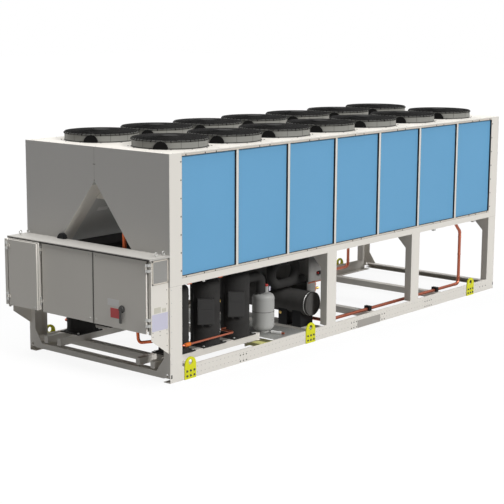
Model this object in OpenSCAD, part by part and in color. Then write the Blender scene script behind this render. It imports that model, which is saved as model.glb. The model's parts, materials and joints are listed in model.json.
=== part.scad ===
// Air cooled water chiller: a long steel frame with two rows of roof fans over
// vertical outer coils and a roof-shaped pair of inner coils, and an open machine bay below.
// Millimetres. +X runs from the control cabinet to the far end, +Z is up.

/* [Overall] */
// Length of one fan module along the unit
fan_pitch = 900; // [870:10:1000]
// Fans in each of the two rows
fans_per_row = 7; // [6:1:9]
// Distance from the end face to the first module line
end_margin = 178; // [175:1:240]
// Width over the post faces
unit_w = 2240; // [2200:10:2400]
// Height of the fan deck
deck_z = 2440; // [2380:10:2560]
// Height of the underside of the coil section
bay_top_z = 1040; // [1020:5:1100]

/* [Base frame] */
// Height of the base rails
rail_h = 150; // [130:1:180]
// Width of the base rails' bottom flange
rail_flange = 100; // [90:1:110]
// Width of the lip along the top of the base rails
rail_lip = 25; // [20:1:40]
// Lower edge of the plates that close the ends of the base rails
rail_end_z = 50; // [40:1:60]
// Radius of the holes in the ends of the base rails
rail_end_hole_r = 17; // [10:0.5:20]
// Height of the holes in the ends of the base rails
rail_end_hole_z = 80; // [75:1:90]
// Sheet thickness of the rails
rail_t = 6; // [4:0.5:8]
// Height of the cross beams
beam_h = 80; // [60:1:95]
// Top of the cross beams above the ground
beam_top = 122; // [115:1:130]
// Width of the cross beams
beam_w = 100; // [70:1:120]
// Sheet thickness of the cross beams
beam_t = 5; // [3:0.5:8]
// Top of the end beams above the ground
end_beam_top = 105; // [85:1:115]
// Width of the end beams
end_beam_w = 102; // [80:1:120]
// Radius of the foot fixing holes in the base rails
foot_hole_r = 11; // [8:0.5:14]
// Distance of the foot fixing holes from the end faces
foot_hole_inset = 420; // [400:10:600]
// First cross beam from the end face
front_beam_at = 427; // [400:1:440]
// Cross beam between the compressors and the tray
tray_beam_at = 1760; // [1740:5:1790]
// Third cross beam from the end face
middle_beam_at = 3830; // [3700:10:4100]
// Last cross beam from the end face
rear_beam_at = 5400; // [5200:10:5500]
// Height of the low carrier under the water header
carrier_h = 60; // [50:1:70]
// Width of the low carrier under the water header
carrier_w = 240; // [200:5:260]
// Underside of the low carrier above the ground
carrier_z = 35; // [20:1:40]

/* [Posts and rails] */
// Width of the posts along the unit
post_w = 185; // [160:1:190]
// Depth of the posts across the unit
post_d = 95; // [80:1:100]
// Sheet thickness of posts and upper rails
post_t = 5; // [3:0.5:6]
// Start of the second post from the end face
post_two_at = 2730; // [2690:5:2780]
// Start of the third post from the end face
post_three_at = 4545; // [4500:5:4600]
// Leg of the knee gussets under the coil section
knee_leg = 190; // [140:5:230]
// Leg of the corner gussets on the base
foot_leg = 110; // [80:5:140]
// Thickness of the gussets
gusset_t = 6; // [4:0.5:8]
// Height of the upper side rails
upper_rail_h = 94; // [80:1:110]
// Width of the cross beams under the coil section
upper_beam_w = 70; // [50:1:90]
// Width of the corner posts of the coil section
corner_w = 187; // [182:1:195]
// Depth of the corner posts and top rails
corner_d = 60; // [50:1:70]
// Height of the top rails with the deck sheet
top_rail_h = 33; // [28:1:40]
// Width of the ribs under the deck
rib_w = 40; // [30:1:50]
// Width of the strips between the coil panels
mullion_w = 36; // [30:1:60]
// Depth of the strips between the coil panels
mullion_d = 50; // [45:1:58]

/* [Coils] */
// Set-back of the outer coil panels behind the frame face
coil_recess = 24; // [10:1:25]
// Thickness of the coils
coil_t = 30; // [20:1:34]
// Gap between neighbouring inner coils
inner_coil_gap = 30; // [10:1:60]
// Height of the ridge where the inner coils meet
ridge_z = 2070; // [2000:5:2120]
// Half width of the tunnel at the underside of the coil section
tunnel_half_w = 830; // [780:5:860]
// Half width of the ridge beam
ridge_half_w = 40; // [30:1:60]
// Height of the ridge beam above the ridge line
ridge_h = 70; // [60:1:90]
// Lower edge of the plates that close the ridge behind the end openings
apex_plate_z = 1840; // [1800:5:1900]
// Width and height of the sill that carries the inner coils
sill_w = 50; // [40:1:60]
// Depth of the sheet that lines the end opening
liner_depth = 200; // [150:5:215]
// Thickness of the end sheets and their liners
end_t = 3; // [2:0.5:5]

/* [Fans] */
// Distance of the fan axes from the middle of the unit
fan_y = 535; // [510:1:550]
// Inside radius of the fan rings
ring_r = 412; // [400:1:416]
// Wall thickness of the fan rings
ring_t = 8; // [5:0.5:10]
// Height of the fan rings above the deck
ring_h = 92; // [80:1:110]
// Width of the foot flange of the fan rings
ring_foot = 16; // [12:1:20]
// Thickness of the foot flange of the fan rings
ring_foot_t = 4; // [3:0.5:6]
// Bent pieces in one fan ring
ring_segments = 12; // [8:1:16]
// Seam between two pieces of a ring and two deck sheets
seam = 0.8; // [0.5:0.1:0.9]
// Thickness of the deck sheet
deck_t = 3; // [2:0.5:4]
// Wire thickness of the guards
wire = 6; // [5:0.5:8]
// Wire rings in one guard
guard_rings = 6; // [4:1:7]
// Spokes in one guard
guard_spokes = 8; // [6:1:10]
// Rise of the guard at its middle
guard_rise = 22; // [10:1:30]
// Radius of the guard's middle plate
guard_hub_r = 95; // [85:1:100]
// Radius of the fan motors
motor_r = 85; // [70:1:92]
// Length of the fan motors
motor_h = 62; // [55:1:80]
// Radius of the rotor hubs
hub_r = 105; // [90:1:115]
// Height of the rotor hubs
hub_h = 80; // [70:1:90]
// Blades on one rotor
blade_count = 5; // [4:1:7]
// Thickness of the blades
blade_t = 5; // [4:0.5:8]
// Chord of the blades at half their length
blade_chord = 175; // [150:5:180]
// Radius of the rounded leading edge in plan
blade_lead_r = 175; // [172:1:190]
// Radius of the hollow trailing edge in plan
blade_trail_r = 330; // [300:5:360]
// Radius of the blades' camber
blade_camber_r = 420; // [380:5:500]
// Pitch angle of the blades
blade_pitch = 16; // [10:1:18]
// Clearance between blade tips and the ring
tip_gap = 14; // [8:1:20]
// Radius of the half-round junction covers
cover_r = 80; // [70:1:85]
// Depth of the half-round junction covers
cover_d = 22; // [15:1:30]
// Direction from the fan axis to the junction cover, in degrees
cover_turn = 210; // [180:5:240]

/* [Control cabinet] */
// Depth of the cabinet walls in front of the end face
cabinet_depth = 258; // [240:1:290]
// Depth of the deeper box at the far side
deep_box_depth = 320; // [312:1:350]
// Underside of the cabinet sides
cabinet_z = 570; // [550:1:600]
// Height of the floor and the doors above the underside of the sides
floor_lift = 32; // [20:1:40]
// Top of the cabinet walls
cabinet_top_z = 1358; // [1330:1:1390]
// Set-back of the cabinet's sides behind the post faces
cabinet_inset = 23; // [15:1:35]
// Sheet thickness of the cabinet
cabinet_t = 3; // [2:0.5:4]
// Roof thickness
roof_t = 22; // [15:1:30]
// Roof overhang in front of the cabinet walls
roof_overhang = 42; // [36:1:48]
// Face towards the main doors of the deep box
deep_box_y = 580; // [560:5:620]
// Meeting line of the two main doors
doors_meet_y = -261; // [-300:1:-200]
// Width of the flanges beside the outer hinges
hinge_flange = 38; // [34:1:60]
// Thickness of the doors
door_t = 22; // [18:1:26]
// Sheet thickness of the doors
door_sheet = 2.5; // [2:0.5:4]
// Running gap around and behind the doors
door_gap = 6; // [5.5:0.5:8]
// Distance of the hinge axes from the door face and edge
hinge_off = 8; // [7.5:0.5:10]
// Radius of the hinge knuckles
knuckle_r = 7; // [6:0.5:7]
// Radius of the hinge pins
hinge_pin_r = 3.5; // [3:0.5:4.5]
// Length of one hinge knuckle
knuckle_h = 30; // [24:1:40]
// Length of the hinge straps on the doors
strap_len = 34; // [26:1:45]
// Running clearance at pins
pin_gap = 0.3; // [0.2:0.05:0.5]
// Distance of the hinges from the door's top and bottom
hinge_inset = 85; // [70:5:140]
// Front height of the cabinet brackets
bracket_front_h = 63; // [50:1:80]
// Back height of the cabinet brackets
bracket_back_h = 245; // [200:5:280]
// Width of the side vents
vent_w = 222; // [180:2:230]
// Height of the side vents
vent_h = 212; // [160:2:230]
// Thickness of the side vents
vent_t = 6; // [5:0.5:10]
// Width of the rim round a vent's slats
vent_rim = 16; // [12:1:24]
// Slats in one vent
vent_slats = 12; // [8:1:16]
// Distance of the vents from the end face
vent_back = 15; // [10:1:20]
// Distance of the vents from the top of the walls
vent_drop = 34; // [20:1:50]
// Inside radius of the eye bolts' rings
eye_r = 18; // [14:0.5:22]
// Wire radius of the eye bolts
eye_wire = 5; // [3.5:0.5:6]
// Height of the eye bolts' stems
eye_stem = 10; // [8:1:14]
// Radius of the eye bolts' collars beyond their wire
eye_collar = 3; // [2:0.5:6]
// Distance of the front eye bolts from the end face
eye_front_at = 150; // [110:5:220]
// Distance of the back eye bolts from the end face
eye_back_at = 35; // [30:5:60]
// Distance of the eye bolts from the roof's side edges
eye_inset = 55; // [40:1:80]

/* [Isolator] */
// Height of the rotary handle's axis
isolator_z = 797; // [760:1:840]
// Place of the rotary handle across the unit
isolator_y = -700; // [-800:1:-500]
// Radius of the round base
isolator_r = 40; // [32:1:48]
// Thickness of the round base
isolator_base_t = 10; // [8:1:14]
// Length of the lever from its axis
lever_len = 150; // [110:5:170]
// Width of the lever
lever_w = 26; // [20:1:32]
// Thickness of the lever
lever_t = 18; // [14:1:22]
// Thickness of the lever's round boss
boss_t = 16; // [12:1:20]
// Radius of the spindle
spindle_r = 8; // [6:0.5:10]

/* [Lifting plates] */
// First lifting plate from the end face
lift_front_at = 303; // [280:5:340]
// Second lifting plate from the end face
lift_middle_at = 2409; // [2350:5:2500]
// Third lifting plate from the rear end face
lift_rear_inset = 630; // [550:5:700]
// Width of the lifting plates
lift_w = 175; // [150:1:200]
// Height of the lifting plates
lift_h = 242; // [225:1:260]
// Thickness of the lifting plates
lift_t = 12; // [10:1:16]
// Radius of the lifting holes
lift_hole_r = 30; // [25:1:31]
// Height of the lifting holes
lift_hole_z = 184; // [182:1:190]

/* [Machine bay] */
// Radius of the compressor jackets
comp_r = 166; // [140:1:170]
// Height of the compressors
comp_h = 740; // [650:5:780]
// Radius of the compressors' upper shoulder
comp_shoulder = 60; // [40:1:90]
// Distance of the compressor rows from the middle
comp_y = 740; // [720:5:750]
// First compressor from the end face
comp_at = 455; // [440:5:480]
// Distance between compressors
comp_pitch = 513; // [490:1:520]
// Height of the rails under the compressors
comp_rail_h = 78; // [60:1:90]
// Width of the rails under the compressors
comp_rail_w = 60; // [50:1:70]
// Distance between the rails of one row
comp_rail_gap = 220; // [200:5:240]
// Thickness of the compressor feet
foot_t = 12; // [8:1:16]
// Length of the compressor feet along the unit
foot_l = 380; // [350:5:400]
// Width of the compressor feet across the unit
foot_w = 310; // [290:5:320]
// Width of the terminal boxes
terminal_w = 185; // [150:1:190]
// Height of the terminal boxes
terminal_h = 290; // [250:5:320]
// Depth of the terminal boxes in front of the jackets
terminal_d = 50; // [40:1:60]
// Height of the terminal boxes above the feet
terminal_up = 250; // [220:5:300]
// Turn of the terminal boxes round the compressors, in degrees from the long side
terminal_turn = -45; // [-60:5:-30]
// Radius of the liquid receivers
receiver_r = 132; // [120:1:140]
// Height of the liquid receivers
receiver_h = 465; // [440:5:500]
// Radius of the receivers' shoulders
receiver_round = 60; // [45:1:70]
// Height of the receivers' foot rings
receiver_foot = 22; // [15:1:30]
// Place of the receivers from the end face
receiver_at = 1990; // [1970:5:2010]
// Distance of the receivers' inlet and valve from their axis
receiver_port = 52; // [45:1:60]
// Radius of the receivers' inlet necks
inlet_r = 20; // [14:1:24]
// Height of the receivers' inlet necks
inlet_h = 16; // [10:1:24]
// Radius of the receivers' valves
valve_r = 26; // [20:1:28]
// Height of the receivers' valves
valve_h = 70; // [50:1:90]
// Radius of the caps on the receivers' valves
valve_cap_r = 21; // [14:1:25]
// Height of the caps on the receivers' valves
valve_cap_h = 24; // [15:1:35]
// Place of the water header from the end face
header_at = 2737; // [2720:1:2760]
// Radius of the water header with its jacket
header_r = 149; // [130:1:155]
// Height of the water header's axis
header_z = 385; // [375:1:400]
// Reach of the water header from the middle of the unit
header_reach = 870; // [850:5:890]
// Radius of the capped ends of the water header
cap_r = 144; // [120:1:148]
// Length of the capped ends of the water header
cap_len = 36; // [30:1:50]
// Radius of the pipes from the header to the evaporator
riser_r = 50; // [40:1:60]
// Place across the unit of the pipes from the header to the evaporator
riser_y = 350; // [300:5:400]
// Bend radius of the pipes from the header to the evaporator
riser_bend = 85; // [75:1:95]
// Near face of the evaporator from the end face
evap_at = 2920; // [2910:5:2950]
// Length of the evaporator along the unit
evap_l = 380; // [340:5:420]
// Half width of the evaporator
evap_half_w = 690; // [650:5:720]
// Underside of the evaporator
evap_z = 575; // [565:1:590]
// Height of the evaporator
evap_h = 420; // [380:5:440]
// Edge bevel of the evaporator's jacket
evap_bevel = 25; // [10:1:40]
// Radius of the jacketed refrigerant pipes
jacket_r = 56; // [48:1:58]
// Bend radius of the return bends at the evaporator
jacket_bend = 142; // [125:1:145]
// Bend radius of the jacketed pipes into the receivers
inlet_bend = 90; // [80:1:100]
// Place across the unit of the return bends at the evaporator
return_y = 600; // [560:5:620]
// Front of the return bends from the end face
return_at = 2301; // [2280:1:2320]
// Radius of the pipes in the tunnel between the inner coils
tunnel_pipe_r = 68; // [50:1:75]
// Place across the unit of the pipes in the tunnel
tunnel_pipe_y = 350; // [340:5:380]
// Thickness of the bay tray
tray_t = 4; // [3:0.5:6]
// Lap of the bay tray over the base rails' lips
tray_lap = 15; // [10:1:18]
// Radius of the liquid lines
liquid_r = 21; // [16:0.5:22]
// Bend radius of the liquid lines
liquid_bend = 60; // [50:1:62]
// Place of the liquid lines across the unit
liquid_y = 950; // [935:1:965]
// Place of the liquid lines' start under the evaporator from the end face
liquid_drop_at = 2950; // [2945:1:2990]
// Place across the unit of the liquid lines' start
liquid_drop_y = 630; // [600:5:650]
// Height of the liquid lines over the cross beams
liquid_lift = 3; // [2:0.5:10]
// Place of the risers from the rear end face
riser_inset = 661; // [640:1:700]
// Drop of the risers' upper bend below the coil section
riser_drop = 160; // [120:5:200]
// Sideways run of the risers above their upper bend
riser_lean = 170; // [120:5:180]
// Radius of the oil lines and the coil feeds
oil_r = 12; // [8:0.5:14]
// Bend radius of the oil lines
oil_bend = 40; // [32:1:45]
// Distance of the coil feeds from the module lines
feed_at = 110; // [60:5:400]
// Height of the oil lines
oil_z = 314; // [290:2:330]
// Radius of the sleeve on the oil lines
sleeve_r = 18; // [15:0.5:24]
// Length of the sleeve on the oil lines
sleeve_l = 75; // [50:1:80]
// Width of the pipe clamps along the unit
clamp_w = 50; // [40:1:60]
// Wall of the pipe clamps round the liquid lines
clamp_wall = 20; // [12:1:25]
// Place across the unit of the inner blocks under the water header
block_inner_y = 530; // [500:5:550]
// Place across the unit of the outer blocks under the water header
block_outer_y = 745; // [720:5:780]
// Length across the unit of the blocks under the water header
block_len = 130; // [100:5:150]

/* [Hidden] */
$fn = 48;

frame_l = fan_pitch * fans_per_row + 2 * end_margin;
door_stand = door_gap + door_t;
reach = deep_box_depth + door_stand + hinge_off + knuckle_r;
front_x = (reach - frame_l) / 2;
rear_x = front_x + frame_l;
half_w = unit_w / 2;
cabinet_half_w = half_w - cabinet_inset;
cut = 1;
stock = 0.3;

function at(d) = front_x + d;
function line_x(i) = front_x + end_margin + i * fan_pitch;
post_at = [0, post_two_at, post_three_at, frame_l - post_w];
beam_at = [front_beam_at, tray_beam_at, middle_beam_at, rear_beam_at];
lift_at = [lift_front_at, lift_middle_at, frame_l - lift_rear_inset];
coil_bottom_z = bay_top_z + upper_rail_h;
coil_top_z = deck_z - top_rail_h;
tunnel_slope = tunnel_half_w / (ridge_z - bay_top_z);
function tunnel_y(z) = tunnel_slope * (ridge_z - z);
function tunnel_z(y) = ridge_z - y / tunnel_slope;

ivory = [0.87, 0.855, 0.82];
blue = [0.42, 0.65, 0.80];
black = [0.07, 0.07, 0.07];
galvanised = [0.62, 0.62, 0.60];
copper = [0.72, 0.36, 0.22];
yellow_green = [0.80, 0.82, 0.10];
ring_grey = [0.66, 0.66, 0.64];

// A box between two opposite corners
module box(low, high) {
    translate(low) cube(high - low);
}

// Makes its children on both long sides of the unit
module both_sides() {
    children();
    mirror([0, 1, 0]) children();
}

// A channel along X, open towards the middle of the unit, on the near side
module side_channel(x0, x1, z0, z1, depth, t) {
    difference() {
        box([x0, -half_w, z0], [x1, -half_w + depth, z1]);
        box([x0 - cut, -half_w + t, z0 + t], [x1 + cut, -half_w + depth + cut, z1 - t]);
    }
}

// A channel along Y with its web at x0
module cross_channel(x0, w, y0, y1, z0, z1, t) {
    difference() {
        box([x0, y0, z0], [x0 + w, y1, z1]);
        box([x0 + t, y0 - cut, z0 + t], [x0 + w + cut, y1 + cut, z1 - t]);
    }
}

function unit_of(v) = v / norm(v);
function frame_of(x, y, z, p) = [
    [x[0], y[0], z[0], p[0]], [x[1], y[1], z[1], p[1]], [x[2], y[2], z[2], p[2]], [0, 0, 0, 1]];
function side_of(d) = abs(d[2]) > 0.9 ? [1, 0, 0] : unit_of(cross(d, [0, 0, 1]));

// A straight round bar from a to b
module rod(a, b, r) {
    d = unit_of(b - a);
    s = side_of(d);
    multmatrix(frame_of(s, cross(d, s), d, a)) cylinder(r = r, h = norm(b - a));
}

// A bend of radius r at corner p, from direction u to direction v
module elbow(p, u, v, r, bend) {
    turn = acos(u * v);
    n = unit_of(v - u * (u * v));
    centre = p - u * bend * tan(turn / 2) + n * bend;
    multmatrix(frame_of(-n, u, cross(-n, u), centre))
        rotate_extrude(angle = turn) translate([bend, 0]) circle(r);
}

// A pipe along the points of a route, with fittings at its corners
module pipe(route, r, bend, fitting) {
    count = len(route);
    lap = 4;
    dir = [for (i = [0 : count - 2]) unit_of(route[i + 1] - route[i])];
    back = [for (i = [0 : count - 1])
        (i == 0 || i == count - 1) ? 0 : bend * tan(acos(dir[i - 1] * dir[i]) / 2) - lap];
    for (i = [0 : count - 2])
        rod(route[i] + dir[i] * back[i], route[i + 1] - dir[i] * back[i + 1], r);
    for (i = [1 : count - 2])
        elbow(route[i], dir[i - 1], dir[i], r + fitting, bend);
}

// Base frame

post_in = -half_w + post_d;

// The near base rail: a channel with a wide bottom flange and a narrow lip, closed by a plate at each end
module base_rail() {
    profile = [[0, 0], [rail_flange, 0], [rail_flange, rail_t], [rail_t, rail_t], [rail_t, rail_h - rail_t],
        [rail_lip, rail_h - rail_t], [rail_lip, rail_h], [0, rail_h]];
    difference() {
        union() {
            translate([front_x, -half_w, 0]) rotate([90, 0, 90]) linear_extrude(frame_l) polygon(profile);
            for (x = [front_x, rear_x - rail_t])
                box([x, -half_w, rail_end_z], [x + rail_t, post_in, rail_h]);
        }
        for (x = [at(foot_hole_inset), rear_x - foot_hole_inset])
            translate([x, -half_w + (rail_flange + rail_t) / 2, -cut])
                cylinder(r = foot_hole_r, h = rail_t + 2 * cut);
        for (x = [front_x, rear_x - rail_t])
            translate([x - cut, -half_w + post_d / 2, rail_end_hole_z]) rotate([0, 90, 0])
                cylinder(r = rail_end_hole_r, h = rail_t + 2 * cut);
    }
}

module base_rails() { color(ivory) both_sides() base_rail(); }

module end_beam() {
    cross_channel(front_x, end_beam_w, post_in, -post_in, beam_top - beam_h, end_beam_top, beam_t);
}

module base_beams() {
    web = half_w - rail_t;
    color(ivory) {
        end_beam();
        translate([front_x + rear_x, 0, 0]) mirror([1, 0, 0]) end_beam();
        for (d = beam_at)
            cross_channel(at(d) - beam_w / 2, beam_w, -web, web, beam_top - beam_h, beam_top, beam_t);
        cross_channel(at(header_at) - carrier_w / 2, carrier_w, -web, web,
            carrier_z, carrier_z + carrier_h, beam_t);
    }
}

tray_x0 = at(tray_beam_at);
tray_x1 = at(header_at) - header_r - 2 * receiver_r;
module bay_tray() {
    half = half_w - rail_lip + tray_lap;
    color(galvanised) box([tray_x0, -half, rail_h], [tray_x1, half, rail_h + tray_t]);
}

module compressor_rails() {
    x0 = front_x + gusset_t + stock;
    color(ivory) both_sides() for (s = [-1, 1]) {
        y = -comp_y + s * comp_rail_gap / 2;
        box([x0, y - comp_rail_w / 2, beam_top],
            [tray_x0 - seam, y + comp_rail_w / 2, beam_top + comp_rail_h]);
    }
}

// Posts, gussets and rails of the machine bay

module posts() {
    color(ivory) both_sides() for (d = post_at) difference() {
        box([at(d), -half_w, rail_h], [at(d) + post_w, -half_w + post_d, bay_top_z]);
        box([at(d) + post_t, -half_w + post_t, rail_h - cut],
            [at(d) + post_w - post_t, -half_w + post_d + cut, bay_top_z + cut]);
    }
}

// A triangular plate across the unit with its right angle at [y, z]
module knee(x, y, z, leg_y, leg_z) {
    translate([x, 0, 0]) rotate([90, 0, 90])
        linear_extrude(gusset_t) polygon([[y, z], [y + leg_y, z], [y, z + leg_z]]);
}

module gussets() {
    color(ivory) both_sides() {
        for (d = post_at) knee(at(d), post_in, bay_top_z, knee_leg, -knee_leg);
        for (x = [front_x, rear_x - gusset_t])
            knee(x, post_in, end_beam_top, foot_leg, foot_leg + rail_h - end_beam_top);
    }
}

module upper_rails() {
    color(ivory) both_sides()
        side_channel(front_x + end_t, rear_x - end_t, bay_top_z, coil_bottom_z, post_d, post_t);
}

module upper_cross_beams() {
    half = half_w - post_d;
    color(ivory) {
        for (x = [front_x + end_t, at(post_two_at), at(post_three_at)])
            cross_channel(x, upper_beam_w, -half, half, bay_top_z, coil_bottom_z, beam_t);
        mirror([1, 0, 0])
            cross_channel(end_t - rear_x, upper_beam_w, -half, half, bay_top_z, coil_bottom_z, beam_t);
    }
}

// Lifting plates

module lifting_plates() {
    rounding = lift_w / 2;
    color(yellow_green) both_sides() for (d = lift_at)
        translate([at(d), -half_w, 0]) rotate([90, 0, 0]) difference() {
            linear_extrude(lift_t) union() {
                translate([-rounding, 0]) square([lift_w, lift_h - rounding]);
                translate([0, lift_h - rounding]) circle(rounding);
            }
            translate([0, lift_hole_z, -cut]) cylinder(r = lift_hole_r, h = lift_t + 2 * cut);
        }
}

// Frame of the coil section

module corner_posts() {
    color(ivory) both_sides() for (x = [front_x + end_t, rear_x - end_t - corner_w]) difference() {
        box([x, -half_w, coil_bottom_z], [x + corner_w, -half_w + corner_d, coil_top_z]);
        box([x + post_t, -half_w + post_t, coil_bottom_z - cut],
            [x + corner_w - post_t, -half_w + corner_d + cut, coil_top_z + cut]);
    }
}

// Rails round the deck, one rib along its middle and one rib at each module line
module deck_frame() {
    x0 = front_x + end_t;
    x1 = rear_x - end_t;
    y1 = half_w - corner_d;
    top = deck_z - deck_t;
    rib = rib_w / 2;
    color(ivory) {
        both_sides() box([x0, -half_w, coil_top_z], [x1, -y1, top]);
        for (x = [x0, x1 - corner_d])
            box([x, -y1 + stock, coil_top_z], [x + corner_d, y1 - stock, top]);
        box([x0 + corner_d + stock, -rib, coil_top_z], [x1 - corner_d - stock, rib, top]);
        both_sides() for (i = [1 : fans_per_row - 1])
            box([line_x(i) - rib, -y1 + stock, coil_top_z], [line_x(i) + rib, -rib - stock, top]);
    }
}

module mullions() {
    color(ivory) both_sides() for (i = [1 : fans_per_row - 1])
        box([line_x(i) - mullion_w / 2, -half_w, coil_bottom_z],
            [line_x(i) + mullion_w / 2, -half_w + mullion_d, coil_top_z]);
}

// Coils

module coil_panels() {
    y0 = -half_w + coil_recess;
    color(blue) both_sides() for (i = [0 : fans_per_row - 1]) {
        x0 = i == 0 ? front_x + end_t + corner_w : line_x(i) + mullion_w / 2;
        x1 = i == fans_per_row - 1 ? rear_x - end_t - corner_w : line_x(i + 1) - mullion_w / 2;
        box([x0, y0, coil_bottom_z], [x1, y0 + coil_t, coil_top_z]);
    }
}

sill_y = tunnel_y(coil_bottom_z);
liner_x = front_x + end_t + liner_depth;
slope_rise = sqrt(1 + 1 / pow(tunnel_slope, 2));

// A sloping sheet or slab over the near half of the tunnel, from x0 to x1
module tunnel_slab(x0, x1, t) {
    up = [0, t * slope_rise];
    foot = [-sill_y, coil_bottom_z];
    head = [-ridge_half_w, tunnel_z(ridge_half_w)];
    translate([x0, 0, 0]) rotate([90, 0, 90])
        linear_extrude(x1 - x0) polygon([foot, head, head + up, foot + up]);
}

module inner_coils() {
    color(galvanised) both_sides() for (i = [0 : fans_per_row - 1]) {
        x0 = i == 0 ? liner_x : line_x(i) + inner_coil_gap / 2;
        x1 = i == fans_per_row - 1 ? rear_x - end_t - liner_depth : line_x(i + 1) - inner_coil_gap / 2;
        tunnel_slab(x0, x1, coil_t);
    }
}

// The ridge beam and the two sills that carry the inner coils
module coil_carriers() {
    ridge = [[0, ridge_z], [ridge_half_w, tunnel_z(ridge_half_w)],
        [ridge_half_w, ridge_z + ridge_h], [-ridge_half_w, ridge_z + ridge_h],
        [-ridge_half_w, tunnel_z(ridge_half_w)]];
    color(galvanised) {
        translate([front_x + end_t, 0, 0]) rotate([90, 0, 90])
            linear_extrude(frame_l - 2 * end_t) polygon(ridge);
        both_sides() box([front_x + end_t, -sill_y - sill_w, coil_bottom_z],
            [rear_x - end_t, -sill_y, coil_bottom_z + sill_w]);
    }
}

// Two halves at each end, with the slope of the tunnel cut away
module end_sheets() {
    half = [[-half_w, bay_top_z], [-tunnel_half_w, bay_top_z],
        [-stock, ridge_z - stock / tunnel_slope], [-stock, deck_z], [-half_w, deck_z]];
    color(ivory) both_sides() for (x = [front_x, rear_x - end_t])
        translate([x, 0, 0]) rotate([90, 0, 90]) linear_extrude(end_t) polygon(half);
}

// Sheets that line the end openings, and a plate that closes the ridge behind each of them
module end_liners() {
    low_y = tunnel_y(apex_plate_z) - stock;
    top_z = tunnel_z(ridge_half_w) - stock;
    apex = [[-low_y, apex_plate_z - stock], [low_y, apex_plate_z - stock],
        [ridge_half_w - stock, top_z], [stock - ridge_half_w, top_z]];
    color(ivory) {
        both_sides() {
            tunnel_slab(front_x + end_t, liner_x, end_t);
            tunnel_slab(rear_x - end_t - liner_depth, rear_x - end_t, end_t);
        }
        for (x = [liner_x - end_t, rear_x - end_t - liner_depth])
            translate([x, 0, 0]) rotate([90, 0, 90]) linear_extrude(end_t) polygon(apex);
    }
}

// Fans

function fan_x(i) = line_x(i) + fan_pitch / 2;

// Places its children at every fan of the near row
module fan_row() {
    for (i = [0 : fans_per_row - 1]) translate([fan_x(i), -fan_y, 0]) children();
}

// Places its children at every fan of both rows, all turned the same way
module every_fan() {
    for (s = [-1, 1], i = [0 : fans_per_row - 1]) translate([fan_x(i), s * fan_y, 0]) children();
}

module fan_deck() {
    color(ivory) both_sides() for (i = [0 : fans_per_row - 1]) {
        x_low = i == 0 ? front_x + end_t : line_x(i) + seam / 2;
        x_high = i == fans_per_row - 1 ? rear_x - end_t : line_x(i + 1) - seam / 2;
        for (x = [[x_low, fan_x(i) - seam / 2], [fan_x(i) + seam / 2, x_high]],
             y = [[-half_w, -fan_y - seam / 2], [-fan_y + seam / 2, -seam / 2]])
            difference() {
                box([x[0], y[0], deck_z - deck_t], [x[1], y[1], deck_z]);
                translate([fan_x(i), -fan_y, deck_z - deck_t - cut])
                    cylinder(r = ring_r, h = deck_t + 2 * cut);
            }
    }
}

module fan_rings() {
    span = 360 / ring_segments;
    joint = seam / ring_r * 180 / PI;
    wall = [[0, 0], [ring_foot, 0], [ring_foot, ring_foot_t], [ring_t, ring_foot_t],
        [ring_t, ring_h], [0, ring_h]];
    color(ring_grey) every_fan() for (k = [0 : ring_segments - 1])
        rotate(k * span + joint / 2) rotate_extrude(angle = span - joint)
            translate([ring_r, deck_z]) polygon(wall);
}

guard_r = ring_r + ring_t / 2;
guard_z = deck_z + ring_h;
function dome(r) = guard_rise * (1 - pow(r / guard_r, 2));
module fan_guard() {
    step = (guard_r - guard_hub_r) / guard_rings;
    radii = [for (k = [0 : guard_rings]) guard_hub_r + k * step];
    spoke = concat([for (r = radii) [r, guard_z + dome(r)]],
        [for (k = [guard_rings : -1 : 0]) [radii[k], guard_z + dome(radii[k]) + wire]]);
    translate([0, 0, guard_z + dome(guard_hub_r)])
        cylinder(r = guard_hub_r + wire / 2, h = wire * 0.8);
    for (k = [1 : guard_rings]) {
        lift = k == guard_rings ? 0 : wire / 3;
        rotate_extrude() translate([radii[k] - wire / 2, guard_z + dome(radii[k]) + lift])
            square([wire, wire]);
    }
    for (a = [0 : 360 / guard_spokes : 359])
        rotate([0, 0, a]) rotate([90, 0, 0]) translate([0, 0, -wire / 3])
            linear_extrude(wire * 2 / 3) polygon(spoke);
}

module fan_guards_near() { color(black) fan_row() fan_guard(); }
module fan_guards_far() { color(black) mirror([0, 1, 0]) fan_row() fan_guard(); }

motor_top = guard_z + dome(guard_hub_r);
hub_top = motor_top - motor_h;
module fan_motors() {
    color(black) every_fan() translate([0, 0, hub_top]) cylinder(r = motor_r, h = motor_h);
}

// A sickle-shaped blade of cambered sheet, pitched about its own radius
module fan_blade() {
    outer = ring_r - tip_gap;
    mid = (hub_r + outer) / 2;
    intersection() {
        difference() {
            translate([0, 0, -hub_h / 2]) cylinder(r = outer, h = hub_h);
            translate([0, 0, -hub_h]) cylinder(r = hub_r - blade_t, h = 2 * hub_h);
        }
        difference() {
            translate([mid, blade_chord / 2 - blade_lead_r, -hub_h])
                cylinder(r = blade_lead_r, h = 2 * hub_h);
            translate([mid, -blade_chord / 2 - blade_trail_r, -2 * hub_h])
                cylinder(r = blade_trail_r, h = 4 * hub_h);
        }
        rotate([blade_pitch, 0, 0]) translate([0, 0, -blade_camber_r]) rotate([0, 90, 0]) difference() {
            cylinder(r = blade_camber_r + blade_t / 2, h = ring_r);
            translate([0, 0, -cut]) cylinder(r = blade_camber_r - blade_t / 2, h = ring_r + 2 * cut);
        }
    }
}

module fan_rotors() {
    color(black) every_fan() {
        translate([0, 0, hub_top - hub_h]) cylinder(r = hub_r, h = hub_h);
        for (k = [0 : blade_count - 1]) translate([0, 0, hub_top - hub_h / 2])
            rotate(k * 360 / blade_count) fan_blade();
    }
}

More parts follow.
